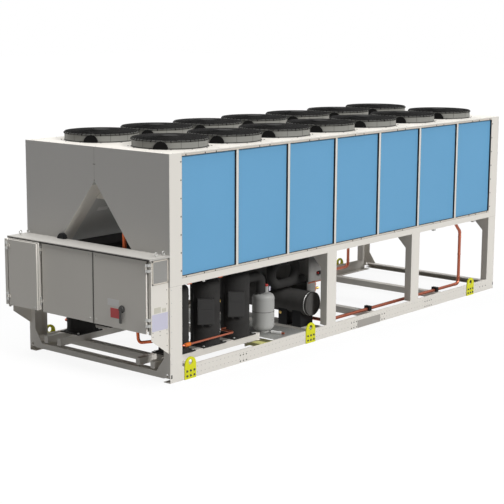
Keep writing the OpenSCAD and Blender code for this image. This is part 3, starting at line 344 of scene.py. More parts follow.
class Stock:
    """Points and faces of many small things that become one mesh."""

    def __init__(self):
        self.points, self.faces = [], []

    def add(self, points, faces, turn=0.0, at=(0, 0, 0)):
        """Takes in a shape, turned about Z by an angle in degrees and then moved."""
        first = len(self.points)
        c, s = math.cos(math.radians(turn)), math.sin(math.radians(turn))
        spin = np.array(((c, s, 0), (-s, c, 0), (0, 0, 1)))
        placed = np.asarray(points, float) @ spin + np.asarray(at, float)
        self.points.extend(map(tuple, placed))
        self.faces.extend(tuple(first + i for i in face) for face in faces)

    def slab(self, x, y, z, bevel=0.001, turn=0.0, at=(0, 0, 0)):
        """A box between two x, two y and two z, with its edges broken."""
        low, high = np.min((x, y, z), axis=1), np.max((x, y, z), axis=1)
        points, index = [], {}
        for corner in BOX_CORNERS:
            for axis in range(3):
                point = np.where(corner, high - bevel, low + bevel)
                point[axis] = high[axis] if corner[axis] else low[axis]
                index[corner, axis] = len(points)
                points.append(point)
        faces = [[index[corner, axis] for axis in range(3)] for corner in BOX_CORNERS]
        for axis in range(3):
            u, v = (axis + 1) % 3, (axis + 2) % 3

            def corner(along, a, b):
                place = [0, 0, 0]
                place[axis], place[u], place[v] = along, a, b
                return tuple(place)

            for end in (0, 1):
                faces.append([index[corner(end, a, b), axis] for a, b in ((0, 0), (1, 0), (1, 1), (0, 1))])
            for a, b in itertools.product((0, 1), repeat=2):
                ends = corner(0, a, b), corner(1, a, b)
                faces.append([index[ends[0], u], index[ends[1], u], index[ends[1], v], index[ends[0], v]])
        self.add(points, faces, turn, at)

    def turned(self, profile, places, axis=(0, 0, 1), sides=12):
        """A lathe-turned shape at each place. The profile goes from base to top as (radius, height)."""
        w, spokes = spokes_about(axis, sides)
        points, rings = [], []
        for radius, height in profile:
            first = len(points)
            if radius > 0:
                points.extend(spokes * radius + w * height)
                rings.append(list(range(first, first + sides)))
            else:
                points.append(w * height)
                rings.append([first] * sides)
        faces = []
        for low, high in zip(rings, rings[1:]):
            for k in range(sides):
                faces.append(tuple(dict.fromkeys((low[k - 1], low[k], high[k], high[k - 1]))))
        faces += [ring for ring in (rings[0], rings[-1]) if ring[0] != ring[1]]
        for place in places:
            self.add(points, faces, at=place)

    def hoop(self, centre, radius, wire, axis=(0, 0, 1), around=48, sides=5, tall=1.0):
        """A ring of wire or a band about an axis."""
        w, spokes = spokes_about(axis, around)
        section = (np.arange(sides) + 0.5) * 2 * np.pi / sides
        points = [spoke * (radius + wire * math.cos(a)) + w * wire * tall * math.sin(a)
                  for spoke in spokes for a in section]
        faces = [(i * sides + j, (i + 1) % around * sides + j,
                  (i + 1) % around * sides + (j + 1) % sides, i * sides + (j + 1) % sides)
                 for i in range(around) for j in range(sides)]
        self.add(points, faces, at=centre)

    def tube(self, path, radius, sides=8):
        """A round bar along a path, closed at its ends."""
        path = np.asarray(path, float)
        normal = None
        points = []
        for point, tangent in zip(path, np.gradient(path, axis=0)):
            tangent = Vector(tangent).normalized()
            normal = tangent.orthogonal() if normal is None else normal - tangent * normal.dot(tangent)
            normal.normalize()
            other = tangent.cross(normal)
            for k in range(sides):
                a = 2 * math.pi * k / sides
                spoke = math.cos(a) * np.array(normal) + math.sin(a) * np.array(other)
                points.append(point + radius * spoke)
        faces = [(i * sides + j, i * sides + (j + 1) % sides,
                  (i + 1) * sides + (j + 1) % sides, (i + 1) * sides + j)
                 for i in range(len(path) - 1) for j in range(sides)]
        faces += [tuple(range(sides)), tuple(range(len(points) - sides, len(points)))]
        self.add(points, faces)

    def piece(self, name, finish, body="frame"):
        """Makes the mesh, in its finish, riding on a body."""
        mesh = bpy.data.meshes.new(name)
        mesh.from_pydata(self.points, [], self.faces)
        shape = bmesh.new()
        shape.from_mesh(mesh)
        bmesh.ops.recalc_face_normals(shape, faces=shape.faces)
        shape.to_mesh(mesh)
        shape.free()
        mesh.shade_smooth()
        mesh.set_sharp_from_angle(angle=CREASE)
        mesh.materials.append(finish.material)
        made = bpy.data.objects.new(name, mesh)
        bpy.context.scene.collection.objects.link(made)
        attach(made, body)
        return made


def rounded(corners, radius, steps=5):
    """A path through corners, with each inner corner bent to a radius."""
    corners = [np.array(c, float) for c in corners]
    path = [corners[0]]
    for before, corner, after in zip(corners, corners[1:], corners[2:]):
        back, on = before - corner, after - corner
        back, on = back / np.linalg.norm(back), on / np.linalg.norm(on)
        half = math.acos(np.clip(back @ on, -1, 1)) / 2
        reach = radius / math.tan(half)
        start, end = corner + back * reach, corner + on * reach
        centre = corner + (back + on) / np.linalg.norm(back + on) * radius / math.sin(half)
        for t in np.linspace(0, 1, steps + 1):
            spoke = (start - centre) * (1 - t) + (end - centre) * t
            path.append(centre + spoke / np.linalg.norm(spoke) * radius)
    return path + [corners[-1]]


def scaled(radius, shares):
    return [(radius * across, radius * up) for across, up in shares]


def screw_head(radius):
    """Profile of a low domed screw head."""
    return scaled(radius, ((1, 0), (1, 0.25), (0.8, 0.5), (0.4, 0.62), (0, 0.64)))


def bolt_head(radius):
    """Profile of a washer with a bolt head over it, turned with six sides."""
    return scaled(radius, ((1.15, 0), (1.15, 0.2), (1, 0.22), (1, 0.75), (0.85, 0.9), (0, 0.9)))


def blind_hole(radius):
    """Profile of a dark disc almost flush with its sheet, painted as the shade inside a hole."""
    return [(radius, 0), (radius, 0.0004), (radius * 0.85, 0.0006), (0, 0.0002)]


def stocks(count):
    return [Stock() for k in range(count)]


def mirrored(side, values):
    return [side * value for value in values]


def lone_slab(name, finish, body, x, y, z, bevel=0.001):
    """A piece that is one slab."""
    stock = Stock()
    stock.slab(x, y, z, bevel)
    stock.piece(name, finish, body)


# Broken edges of sheets and of things that are almost flush, and the sides of turned heads
SHEET_EDGE, HAIR_EDGE = 0.0006, 0.0002
SCREW_SIDES, BOLT_SIDES = 8, 6

# Wire guards over the fans: shallow cages of close rings on spokes, from a hub plate over the motor's top
# to beside the ring's edge

GUARD_WIRE = 0.0024
GUARD_EDGE = 0.424
GUARD_HUB = 0.095
GUARD_LOW = RING_TOP - 0.012
GUARD_HIGH = RING_TOP + 0.003
GUARD_CROWN = 0.0186
GUARD_BEND = 0.008
GUARD_RINGS = 20
GUARD_SPOKES = 48
GUARD_STACK = 1.6 * GUARD_WIRE


def guard_z(radius):
    return GUARD_HIGH + GUARD_CROWN * (GUARD_EDGE - radius) / (GUARD_EDGE - GUARD_HUB)


def wire_guards(side):
    wires, spoke = stocks(2)
    hub_z = guard_z(GUARD_HUB)
    corners = ((GUARD_EDGE, 0, GUARD_LOW), (GUARD_EDGE, 0, GUARD_HIGH), (GUARD_HUB * 0.9, 0, hub_z))
    spoke.tube(rounded(corners, GUARD_BEND, 3), GUARD_WIRE, 4)
    hub_plate = [(GUARD_HUB, 0), (GUARD_HUB, 0.002), (GUARD_HUB * 0.9, 0.003), (GUARD_HUB * 0.3, 0.0035),
                 (0, 0.0035)]
    for x, y in (c for c in fan_centres if c[1] * side > 0):
        for radius in np.linspace(GUARD_HUB * 1.12, GUARD_EDGE - GUARD_BEND, GUARD_RINGS):
            wires.hoop((x, y, guard_z(radius) + GUARD_STACK), radius, GUARD_WIRE, sides=4)
        for z in (GUARD_LOW, (GUARD_LOW + GUARD_HIGH) / 2):
            wires.hoop((x, y, z), GUARD_EDGE + GUARD_STACK, GUARD_WIRE, around=64, sides=4)
        for k in range(GUARD_SPOKES):
            wires.add(spoke.points, spoke.faces, 360 / GUARD_SPOKES * k, (x, y, 0))
        wires.turned(hub_plate, [(x, y, hub_z)], sides=32)
    return wires.piece("guard_wires_near" if side == NEAR else "guard_wires_far", guard_coat)


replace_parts(wire_guards(NEAR), "fan_guards_near")
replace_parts(wire_guards(FAR), "fan_guards_far")

# Fan rings: dark rings of painted shadow at their feet, joint strips at their seams, clips that hold the
# guards, and screws in the deck

RING_JOINTS = 12
SEAM_W = 0.004
CLIP_W = 0.012
RING_SHADOW_UP, RING_SHADOW_R = 0.006, 0.002
DECK_SCREW_R, DECK_REACH = 0.009, RING_OUT + 0.034


def ring_fittings():
    joints, clips, screws, foot_shadows = stocks(4)
    top = RING_TOP - DECK_Z
    joint = (RING_OUT - 0.001, RING_OUT + 0.0015), (-SEAM_W / 2, SEAM_W / 2), (0.005, top - 0.001)
    clip = (RING_OUT - 0.011, RING_OUT + 0.005), (-CLIP_W / 2, CLIP_W / 2), (top - 0.018, top + 0.0015)
    for x, y in fan_centres:
        # Painted shadow: a dark ring at the foot of each fan ring
        foot_shadows.hoop((x, y, DECK_Z + RING_SHADOW_UP), RING_OUT, RING_SHADOW_R, around=64, sides=4, tall=4)
        for k in range(RING_JOINTS):
            turn, at = 360 / RING_JOINTS * k, (x, y, DECK_Z)
            middle = turn + 180 / RING_JOINTS
            joints.slab(*joint, SHEET_EDGE, turn, at)
            clips.slab(*clip, 0.002, middle, at)
            a = math.radians(middle)
            place = (x + DECK_REACH * math.cos(a), y + DECK_REACH * math.sin(a), DECK_Z)
            screws.turned(screw_head(DECK_SCREW_R), [place], sides=SCREW_SIDES)
    joints.piece("ring_joint_strips", screw_steel)
    clips.piece("ring_clips", plastic)
    foot_shadows.piece("ring_foot_shadows", rubber_and_gap_shade)
    screws.piece("deck_screws", screw_steel)


ring_fittings()

# Strips round the coil panels, dark strips round each panel that are partly gasket and partly painted shade
# in the recess, seams at the posts, and the screws along them

STRIP_H, STRIP_T = 0.018, 0.002
SEAM_H, SEAM_PROUD = 0.0035, 0.0006
# Dark strips round each coil panel, partly rubber gasket and partly painted shade in the edges of the recess
GASKET_T, GASKET_EDGE = 0.004, 0.0008
BAY_SEAM, BAY_PROUD = 0.0016, 0.0005
MIDDLE_POSTS = (FRONT_X + 2.730, FRONT_X + 4.545)


def panel_spans():
    """Both edges of each coil panel along the unit."""
    edges = [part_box("coil_panels")[0].x] + module_lines[1:-1] + [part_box("coil_panels")[1].x]
    half = [0] + [MULLION_W / 2] * (FANS - 1) + [0]
    return [(edges[i] + half[i], edges[i + 1] - half[i + 1]) for i in range(FANS)]


def panel_strips():
    strips, gaskets_and_shade, seams = stocks(3)
    span = FRONT_X + POST_W, REAR_X - POST_W
    for side in SIDES:
        face = side * SIDE_Y
        for z in (COIL_LOW - STRIP_H, COIL_TOP):
            strips.slab(span, (face, side * (SIDE_Y + STRIP_T)), (z, z + STRIP_H), SHEET_EDGE)
        for z in (COIL_LOW - STRIP_H - SEAM_H, COIL_TOP + STRIP_H):
            seams.slab(span, (face, side * (SIDE_Y + SEAM_PROUD)), (z, z + SEAM_H), HAIR_EDGE)
        depth = mirrored(side, (PANEL_FACE, SIDE_Y - 0.001))
        for low, high in panel_spans():
            for x in (low, high - GASKET_T):
                gaskets_and_shade.slab((x, x + GASKET_T), depth, (COIL_LOW, COIL_TOP), GASKET_EDGE)
            for z in (COIL_LOW, COIL_TOP - GASKET_T):
                gaskets_and_shade.slab((low + GASKET_T, high - GASKET_T), depth, (z, z + GASKET_T), GASKET_EDGE)
        depth = mirrored(side, (SIDE_Y, SIDE_Y + BAY_PROUD))
        for x in (FRONT_X, REAR_X - POST_W):
            seams.slab((x + 0.002, x + POST_W - 0.002), depth, (BAY_TOP, BAY_TOP + BAY_SEAM), HAIR_EDGE)
        for x in [post + POST_W * k for post in MIDDLE_POSTS for k in (0, 1)]:
            seams.slab((x - BAY_SEAM / 2, x + BAY_SEAM / 2), depth, (BAY_TOP, BAY_TOP + 0.018), HAIR_EDGE)
    strips.piece("panel_strips", strip_coat)
    gaskets_and_shade.piece("panel_gaskets_and_shade", rubber_and_gap_shade)
    seams.piece("frame_seams", seam_shade)


panel_strips()

SCREW_R, POST_SCREW_R, ROOF_SCREW_R = 0.0085, 0.0085 * 0.7, 0.0085 * 0.9
PANEL_SCREWS, LOW_ROW_BACK = (0.372, 0.549), 0.015
END_SCREW_IN, COIL_POST_IN, POST_EDGE_IN, POST_FAR_IN = 0.25, 0.174, 0.022, 0.160
COIL_POST_SCREWS, POST_SCREWS = 7, 4
ROOF_EDGE_IN, ROOF_END_IN, ROOF_PITCH, ROOF_END_PITCH = 0.028, 0.03, 0.18, 0.25


def frame_screws():
    screws, small = stocks(2)
    upper, lower = COIL_TOP + STRIP_H / 2, COIL_LOW - STRIP_H / 2
    coil_post = np.linspace(COIL_LOW + 0.06, COIL_TOP - 0.06, COIL_POST_SCREWS)
    bay_post = np.linspace(RAIL_TOP + 0.06, BAY_TOP - 0.31, POST_SCREWS)
    for side in SIDES:
        face, skin = side * SIDE_Y, side * (SIDE_Y + STRIP_T)
        strip, posts = [], []
        for line in module_lines[:-1]:
            strip += [(line + d, skin, upper) for d in PANEL_SCREWS]
            strip += [(line + d - LOW_ROW_BACK, skin, lower) for d in PANEL_SCREWS]
        for edge, inward in ((FRONT_X, 1), (REAR_X, -1)):
            strip += [(edge + inward * END_SCREW_IN, skin, z) for z in (upper, lower)]
            strip += [(edge + inward * COIL_POST_IN, face, z) for z in coil_post]
            posts += [(edge + inward * d, face, z) for d in (POST_EDGE_IN, POST_FAR_IN)
                      for z in (BAY_TOP - 0.03, BAY_TOP - 0.17)]
            posts += [(edge + inward * POST_EDGE_IN, face, z) for z in bay_post]
        screws.turned(screw_head(SCREW_R), strip, (0, side, 0), SCREW_SIDES)
        small.turned(screw_head(POST_SCREW_R), posts, (0, side, 0), SCREW_SIDES)
        long_row = [(x, side * (SIDE_Y - ROOF_EDGE_IN), DECK_Z)
                    for x in np.arange(FRONT_X + 0.08, REAR_X, ROOF_PITCH)]
        small.turned(screw_head(ROOF_SCREW_R), long_row, sides=SCREW_SIDES)
    for x in (FRONT_X + ROOF_END_IN, REAR_X - ROOF_END_IN):
        end_row = [(x, y, DECK_Z) for y in np.arange(-1.0, 1.05, ROOF_END_PITCH)]
        small.turned(screw_head(ROOF_SCREW_R), end_row, sides=SCREW_SIDES)
    screws.piece("strip_screws", screw_steel)
    small.piece("frame_screws", bright_steel)


frame_screws()

# Holes in the base rails as dark discs and slots of painted shade, the splice plates, and the step plates
# with the bars that bear them

HOLE_R = 0.0085
HOLE_ROWS = (0.022, 0.090)
HOLE_GROUPS = ((-2.010, 3), (0.098, 3), (0.757, 2), (1.750, 4))
HOLE_PITCH = 0.052
REAR_HOLES, REAR_HOLES_Z = (0.205, 0.285, 0.360), 0.070
DOT_PITCH, DOT_ROWS = 0.064, (0.048, 0.112)
END_SLOTS_X = (FRONT_X + 0.013, FRONT_X + 0.031), (REAR_X - 0.019, REAR_X - 0.001)
END_SLOT_Z, SLOT_PROUD = (0.050, 0.090), 0.0006
SPLICE_X, SPLICE_Z, SPLICE_T = (0.225, 0.712), (0.004, 0.100), 0.004
STEP_PLATE_X, STEP_PLATE_T = (-1.770, -1.432), 0.002
STEP_PLATE_IN = 0.145
GRIP_W, GRIP_T = 0.11, 0.0006
BEARER_T = 0.005
TRAY_BEAM_X = FRONT_X + 1.750


def rail_details():
    holes, splices, steps, edges, bearers = stocks(5)
    for side in SIDES:
        face = side * SIDE_Y
        groups = [(x + HOLE_PITCH * k, face, z) for x, n in HOLE_GROUPS for k in range(n) for z in HOLE_ROWS]
        groups += [(REAR_X - d, face, REAR_HOLES_Z) for d in REAR_HOLES]
        dots = [(x, face, z) for x in np.arange(FRONT_X + 0.42, REAR_X - 0.3, DOT_PITCH) for z in DOT_ROWS]
        holes.turned(blind_hole(HOLE_R), groups, (0, side, 0), 12)
        holes.turned(blind_hole(HOLE_R * 0.4), dots, (0, side, 0), 8)
        for x in END_SLOTS_X:
            holes.slab(x, (face, face + side * SLOT_PROUD), END_SLOT_Z, HAIR_EDGE)
        splices.slab(SPLICE_X, (face, face + side * SPLICE_T), SPLICE_Z)
        inner, top = side * (SIDE_Y - STEP_PLATE_IN), RAIL_TOP + STEP_PLATE_T
        depth = inner, side * (SIDE_Y - 0.002)
        bearers.slab((STEP_PLATE_X[0], TRAY_BEAM_X), (inner, inner + side * BEARER_T), (BEAM_TOP, RAIL_TOP),
                     SHEET_EDGE)
        steps.slab(STEP_PLATE_X, depth, (RAIL_TOP, top), SHEET_EDGE)
        for x in (STEP_PLATE_X[0], STEP_PLATE_X[1] - GRIP_W):
            edges.slab((x, x + GRIP_W), depth, (top, top + GRIP_T), HAIR_EDGE)
    holes.piece("rail_holes", hole_shade)
    splices.piece("splice_plates", splice_coat)
    steps.piece("step_plates", step_coat)
    edges.piece("step_plate_grips", step_grip)
    bearers.piece("step_plate_bearers", ivory)


rail_details()

# Lifting plates: bolts and the rims of the lifting holes

BOLT_R, BOLT_ROWS, BOLT_PITCH = 0.012, (0.036, 0.090), 0.056
LIFT_HOLE_Z, LIFT_RIM_R, LIFT_RIM_WIRE = 0.184, 0.0315, 0.0012


def lifting_bolts():
    bolts, rims = stocks(2)
    for side in SIDES:
        face = side * LIFT_FACE
        rows = [(x + BOLT_PITCH * k, face, z) for x in LIFT_X for z in BOLT_ROWS for k in (-1, 0, 1)]
        bolts.turned(bolt_head(BOLT_R), rows, (0, side, 0), BOLT_SIDES)
        for x in LIFT_X:
            rims.hoop((x, face, LIFT_HOLE_Z), LIFT_RIM_R, LIFT_RIM_WIRE, (0, side, 0), 32)
    bolts.piece("lifting_plate_bolts", screw_steel)
    rims.piece("lifting_hole_rims", lifting_coat)


lifting_bolts()

# End sheets: their middle seam, the slot, and the hole at the roof of the opening

RIDGE_Z = 2.070
END_SEAM_Y, MARK_PROUD = (-0.0014, 0.0014), 0.0006
ROOF_SLOT_Y, ROOF_SLOT_Z = (-0.018, 0.018), (2.244, 2.256)


def end_sheet_marks():
    marks = Stock()
    for x, outward in ((FRONT_X, -1), (REAR_X, 1)):
        depth = x, x + outward * MARK_PROUD
        marks.slab(depth, END_SEAM_Y, (RIDGE_Z + 0.02, DECK_Z - 0.004), HAIR_EDGE)
        marks.slab(depth, ROOF_SLOT_Y, ROOF_SLOT_Z, HAIR_EDGE)
        marks.turned(blind_hole(0.009), [(x, 0, RIDGE_Z + 0.006)], (outward, 0, 0), 12)
    marks.piece("end_sheet_marks", seam_shade)


end_sheet_marks()

# Control cabinet: locks, blank plates, vents, dark strips of painted shadow in the door gaps, door folds,
# screws, the hood of the cables, a cover along the deep door's hinge gap and a dark strip of painted shadow
# under the roof's lip

LOCK_R, LOCK_Z = 0.007, (0.631, 1.323)
PLATE_T, PLATE_EDGE = 0.0012, 0.0004
DOOR_PLATES = (("blank_plate_upper", blank_pale, (-0.652, -0.478), (0.812, 0.886)),
               ("blank_plate_lower", blank_red, (-0.652, -0.522), (0.684, 0.790)))
SIDE_PLATES = (("side_sheet", blank_lilac, (-3.394, -3.156), (0.602, 0.782)),
               ("side_plate_wide", blank_beige, (-3.362, -3.262), (0.792, 0.852)),
               ("side_plate_narrow", blank_beige, (-3.242, -3.182), (0.792, 0.830)))


def door_locks(name, body, x, y):
    locks = Stock()
    barrel = [(LOCK_R, 0), (LOCK_R, 0.003), (LOCK_R * 0.85, 0.0045), (LOCK_R * 0.5, 0.0045),
              (LOCK_R * 0.45, 0.003), (0, 0.003)]
    locks.turned(barrel, [(x, y, z) for z in LOCK_Z], (-1, 0, 0), 16)
    locks.piece(name, zinc, body)


door_locks("near_door_locks", "near_door", MAIN_DOOR_X, -0.305)
door_locks("middle_door_locks", "middle_door", MAIN_DOOR_X, -0.205)
door_locks("deep_door_locks", "deep_door", DEEP_DOOR_X, 0.627)
for name, finish, y, z in DOOR_PLATES:
    lone_slab(name, finish, "near_door", (MAIN_DOOR_X - PLATE_T, MAIN_DOOR_X), y, z, PLATE_EDGE)
for name, finish, x, z in SIDE_PLATES:
    lone_slab(name, finish, "frame", x, (-CABINET_Y - PLATE_T, -CABINET_Y), z, PLATE_EDGE)

VENT_X, VENT_Z = (FRONT_X - 0.245, FRONT_X - 0.008), (1.095, 1.350)
VENT_RIM, VENT_SLATS, VENT_PROUD, VENT_SUNK = 0.014, 14, 0.0095, 0.0025
SLAT_SHARE, SLAT_PROUD = 0.55, 0.001


def cabinet_vents():
    rims, mesh = stocks(2)
    (x0, x1), (z0, z1) = VENT_X, VENT_Z
    inside = x0 + VENT_RIM, x1 - VENT_RIM
    slot = (z1 - z0 - 2 * VENT_RIM) / VENT_SLATS
    for side in SIDES:
        wall, face = mirrored(side, (CABINET_Y, CABINET_Y + VENT_PROUD))
        for x, z in ((VENT_X, (z0, z0 + VENT_RIM)), (VENT_X, (z1 - VENT_RIM, z1)),
                     ((x0, x0 + VENT_RIM), VENT_Z), ((x1 - VENT_RIM, x1), VENT_Z)):
            rims.slab(x, (wall, face), z)
        back = side * (CABINET_Y + VENT_PROUD - VENT_SUNK)
        for k in range(VENT_SLATS):
            z = z0 + VENT_RIM + k * slot
            middle = z + slot * SLAT_SHARE
            mesh.slab(inside, (wall, back), (z, middle), HAIR_EDGE)
            mesh.slab(inside, (wall, back + side * SLAT_PROUD), (middle, z + slot), HAIR_EDGE)
    rims.piece("vent_rims", strip_coat)
    mesh.piece("vent_mesh", mesh_coat)


cabinet_vents()

DOOR_LOW, DOOR_TOP = (corner.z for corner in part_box("door_middle"))
NEAR_DOOR_END, MIDDLE_DOOR_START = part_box("door_near")[1].y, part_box("door_middle")[0].y
FOLD_LOW, FOLD_DEEP = 0.579, 0.018
DOOR_FOLDS = (("near_door_fold", "near_door", (-1.051, NEAR_DOOR_END)),
              ("middle_door_fold", "middle_door", (MIDDLE_DOOR_START, 0.564)))
DOOR_GAP_SHADE_W, DOOR_GAP_SHADE_T = 0.006, 0.001
# Painted shadow: dark strips on the doors' faces at their gaps
DOOR_GAP_SHADES = (("near_door_gap_shade", "near_door", NEAR_DOOR_END - DOOR_GAP_SHADE_W),
              ("middle_door_gap_shade", "middle_door", MIDDLE_DOOR_START),
              ("middle_door_hinge_gap_shade", "middle_door", 0.556))
for name, body, y in DOOR_GAP_SHADES:
    lone_slab(name, rubber_and_gap_shade, body, (MAIN_DOOR_X - DOOR_GAP_SHADE_T, MAIN_DOOR_X), (y, y + DOOR_GAP_SHADE_W),
              (FOLD_LOW + 0.002, DOOR_TOP - 0.002), 0.0003)
for name, body, y in DOOR_FOLDS:
    lone_slab(name, ivory, body, (MAIN_DOOR_X, MAIN_DOOR_X + FOLD_DEEP), y, (FOLD_LOW, DOOR_LOW + 0.002))

VENT_SCREW_R, VENT_SCREW_IN = 0.004, 0.007
WALL_SCREW_R, WALL_ROWS = 0.005, (0.548, 0.590)
WALL_SCREW_X = (FRONT_X - 0.235, FRONT_X - 0.130, FRONT_X - 0.025)
WALL_EDGE_Z = (0.42, 0.87, 1.02)
HOOD_Y, HOOD_R, HOOD_STEPS = 0.509, 0.062, 15
HOOD_LAYERS = ((1.0, FRONT_X - 0.040), (0.86, FRONT_X - 0.052))
HINGE_COVER_Y, HINGE_COVER_Z = (1.069, 1.112), (0.600, 1.356)
ROOF_GAP_SHADE_T, ROOF_GAP_SHADE_H, ROOF_GAP_SHADE_IN = 0.0015, 0.012, 0.004


def cabinet_fittings():
    screws, hood = stocks(2)
    for side in SIDES:
        wall, face = mirrored(side, (CABINET_Y, CABINET_Y + VENT_PROUD))
        corners = [(x, face, z) for x in (VENT_X[0] + VENT_SCREW_IN, VENT_X[1] - VENT_SCREW_IN)
                   for z in (VENT_Z[0] + VENT_SCREW_IN, VENT_Z[1] - VENT_SCREW_IN)]
        screws.turned(screw_head(VENT_SCREW_R), corners, (0, side, 0), SCREW_SIDES)
        rows = [(x, wall, z) for z in WALL_ROWS for x in WALL_SCREW_X]
        rows += [(WALL_SCREW_X[-1], wall, z) for z in WALL_EDGE_Z]
        screws.turned(screw_head(WALL_SCREW_R), rows, (0, side, 0), SCREW_SIDES)
    for scale, x in HOOD_LAYERS:
        arc = np.linspace(0, math.pi, HOOD_STEPS)
        edge = [(HOOD_Y + HOOD_R * scale * math.cos(a), ROOF_TOP + HOOD_R * scale * math.sin(a)) for a in arc]
        ends = [(FRONT_X, y, z) for y, z in edge] + [(x, y, z) for y, z in edge]
        n = len(edge)
        sides = [(i, (i + 1) % n, n + (i + 1) % n, n + i) for i in range(n)]
        hood.add(ends, sides + [tuple(range(n)), tuple(range(n, 2 * n))])
    screws.piece("cabinet_screws", screw_steel)
    hood.piece("cable_hood", plastic)


cabinet_fittings()
lone_slab("deep_hinge_cover", ivory, "frame", (DEEP_DOOR_X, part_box("cabinet_sides")[0].x), HINGE_COVER_Y,
          HINGE_COVER_Z, 0.002)
low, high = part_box("cabinet_roof")
# Painted shadow: a dark strip under the roof's lip, above the doors
lone_slab("roof_gap_shade", rubber_and_gap_shade, "frame", (low.x - ROOF_GAP_SHADE_T, low.x),
          (low.y + ROOF_GAP_SHADE_IN, high.y - ROOF_GAP_SHADE_IN), (low.z, low.z + ROOF_GAP_SHADE_H), 0.0004)

# Compressors: jacket bands and flaps, terminal box lids with glands, foot bolts, pipe stubs and caps

COMPRESSOR_H = 0.740
BAND_UP, BAND_R = (0.018, 0.150, 0.610), 0.0035
LID_X, LID_Z, LID_T = (-0.088, 0.088), (0.256, 0.534), 0.004
RAISED_X, RAISED_Z, RAISED_T = (-0.066, 0.066), (0.425, 0.510), 0.006
GLANDS_X, GLAND_Z, GLAND_IN = ((-0.054, -0.026), (0.026, 0.054)), (0.228, 0.250), (0.042, 0.014)
FLAP_X, FLAP_Z, FLAP_HALF = (0.030, 0.034), (0.02, 0.64), 0.004
TERMINAL_TURN, FLAP_TURN = 45, 2.4
FOOT_BOLT_R, FOOT_BOLT_X, FOOT_BOLT_Y = 0.013, 0.165, 0.128
STUB = ((0.020, -0.004), (0.020, 0.050), (0.024, 0.052), (0.024, 0.078), (0.0, 0.080))
CAP = ((0.024, -0.002), (0.024, 0.030), (0.018, 0.040), (0.0, 0.042))


def compressor_fittings():
    bands, lids, bolts, stubs, caps = stocks(5)
    top = FOOT_TOP + COMPRESSOR_H
    for side, x in itertools.product(SIDES, COMPRESSOR_X):
        y = side * ROW_Y
        at = (x, y, FOOT_TOP)
        for up in BAND_UP:
            bands.hoop((x, y, FOOT_TOP + up), COMPRESSOR_R, BAND_R, around=40, sides=4, tall=5)
        turn = side * TERMINAL_TURN
        face, skin, raised = (side * (TERMINAL_REACH + out) for out in (0, LID_T, RAISED_T))
        lids.slab(LID_X, (face, skin), LID_Z, 0.002, turn, at)
        lids.slab(RAISED_X, (skin, raised), RAISED_Z, 0.0015, turn, at)
        for gland_x in GLANDS_X:
            lids.slab(gland_x, [face - side * depth for depth in GLAND_IN], GLAND_Z, 0.006, turn, at)
        depth = mirrored(side, (COMPRESSOR_R - FLAP_HALF, COMPRESSOR_R + FLAP_HALF))
        bands.slab(FLAP_X, depth, FLAP_Z, 0.001, turn * FLAP_TURN, at)
        feet = [(x + dx, y + dy, FOOT_TOP) for dx in (-FOOT_BOLT_X, FOOT_BOLT_X)
                for dy in (-FOOT_BOLT_Y, FOOT_BOLT_Y)]
        bolts.turned(bolt_head(FOOT_BOLT_R), feet, sides=BOLT_SIDES)
        stubs.turned(STUB, [(x - 0.075, side * (ROW_Y + 0.040), top)], sides=16)
        caps.turned(CAP, [(x + 0.070, side * (ROW_Y + 0.030), top)], sides=16)
    bands.piece("jacket_bands", jacket)
    lids.piece("terminal_lids", terminal_plastic)
    bolts.piece("compressor_foot_bolts", bright_steel)
    stubs.piece("compressor_stubs", copper)
    caps.piece("compressor_caps", white_plastic)


compressor_fittings()

# Receivers: seams, weld beads, ribbed valve caps and blank tags

GIRTH_UP, GIRTH_R = 0.250, 0.0018
WELD_UP, WELD_R = (0.085, 0.400), 0.0022
BOSS_X, BOSS_UP, BOSS_R, BOSS_WELD_R = -0.052, 0.467, 0.021, 0.003
VALVE_X, VALVE_UP, VALVE_RIBS = 0.052, 0.535, 12
VALVE_CAP = ((0.0225, 0), (0.0225, 0.020), (0.020, 0.026), (0.0, 0.0265))
VALVE_RIB = (0.0215, 0.0240), (-0.002, 0.002), (0.002, 0.019)
VALVE_TAG = (0.020, 0.050), (-0.0265, -0.0255), (-0.058, -0.004)


def receiver_fittings():
    welds, caps, tags, seams = stocks(4)
    for side in SIDES:
        y = side * ROW_Y
        seams.hoop((RECEIVER_X, y, RECEIVER_Z + GIRTH_UP), RECEIVER_R, GIRTH_R, around=48, tall=2)
        for up in WELD_UP:
            welds.hoop((RECEIVER_X, y, RECEIVER_Z + up), RECEIVER_R, WELD_R, around=48)
        welds.hoop((RECEIVER_X + BOSS_X, y, RECEIVER_Z + BOSS_UP), BOSS_R, BOSS_WELD_R, around=24)
        valve = (RECEIVER_X + VALVE_X, y, RECEIVER_Z + VALVE_UP)
        caps.turned(VALVE_CAP, [valve], sides=20)
        for k in range(VALVE_RIBS):
            caps.slab(*VALVE_RIB, 0.0005, 360 / VALVE_RIBS * k, valve)
        tags.slab(*VALVE_TAG, 0.0003, 0, valve)
    welds.piece("receiver_welds", receiver_coat)
    seams.piece("receiver_seams", screw_steel)
    caps.piece("valve_caps", red_plastic)
    tags.piece("valve_tags", blank_lilac)


receiver_fittings()

# Water header: end rims, bands of tape, sensor pockets and drain lines. Evaporator: tape over its seams, edge
# trims, heater plugs, aprons below its body and the second bend of its return pipes

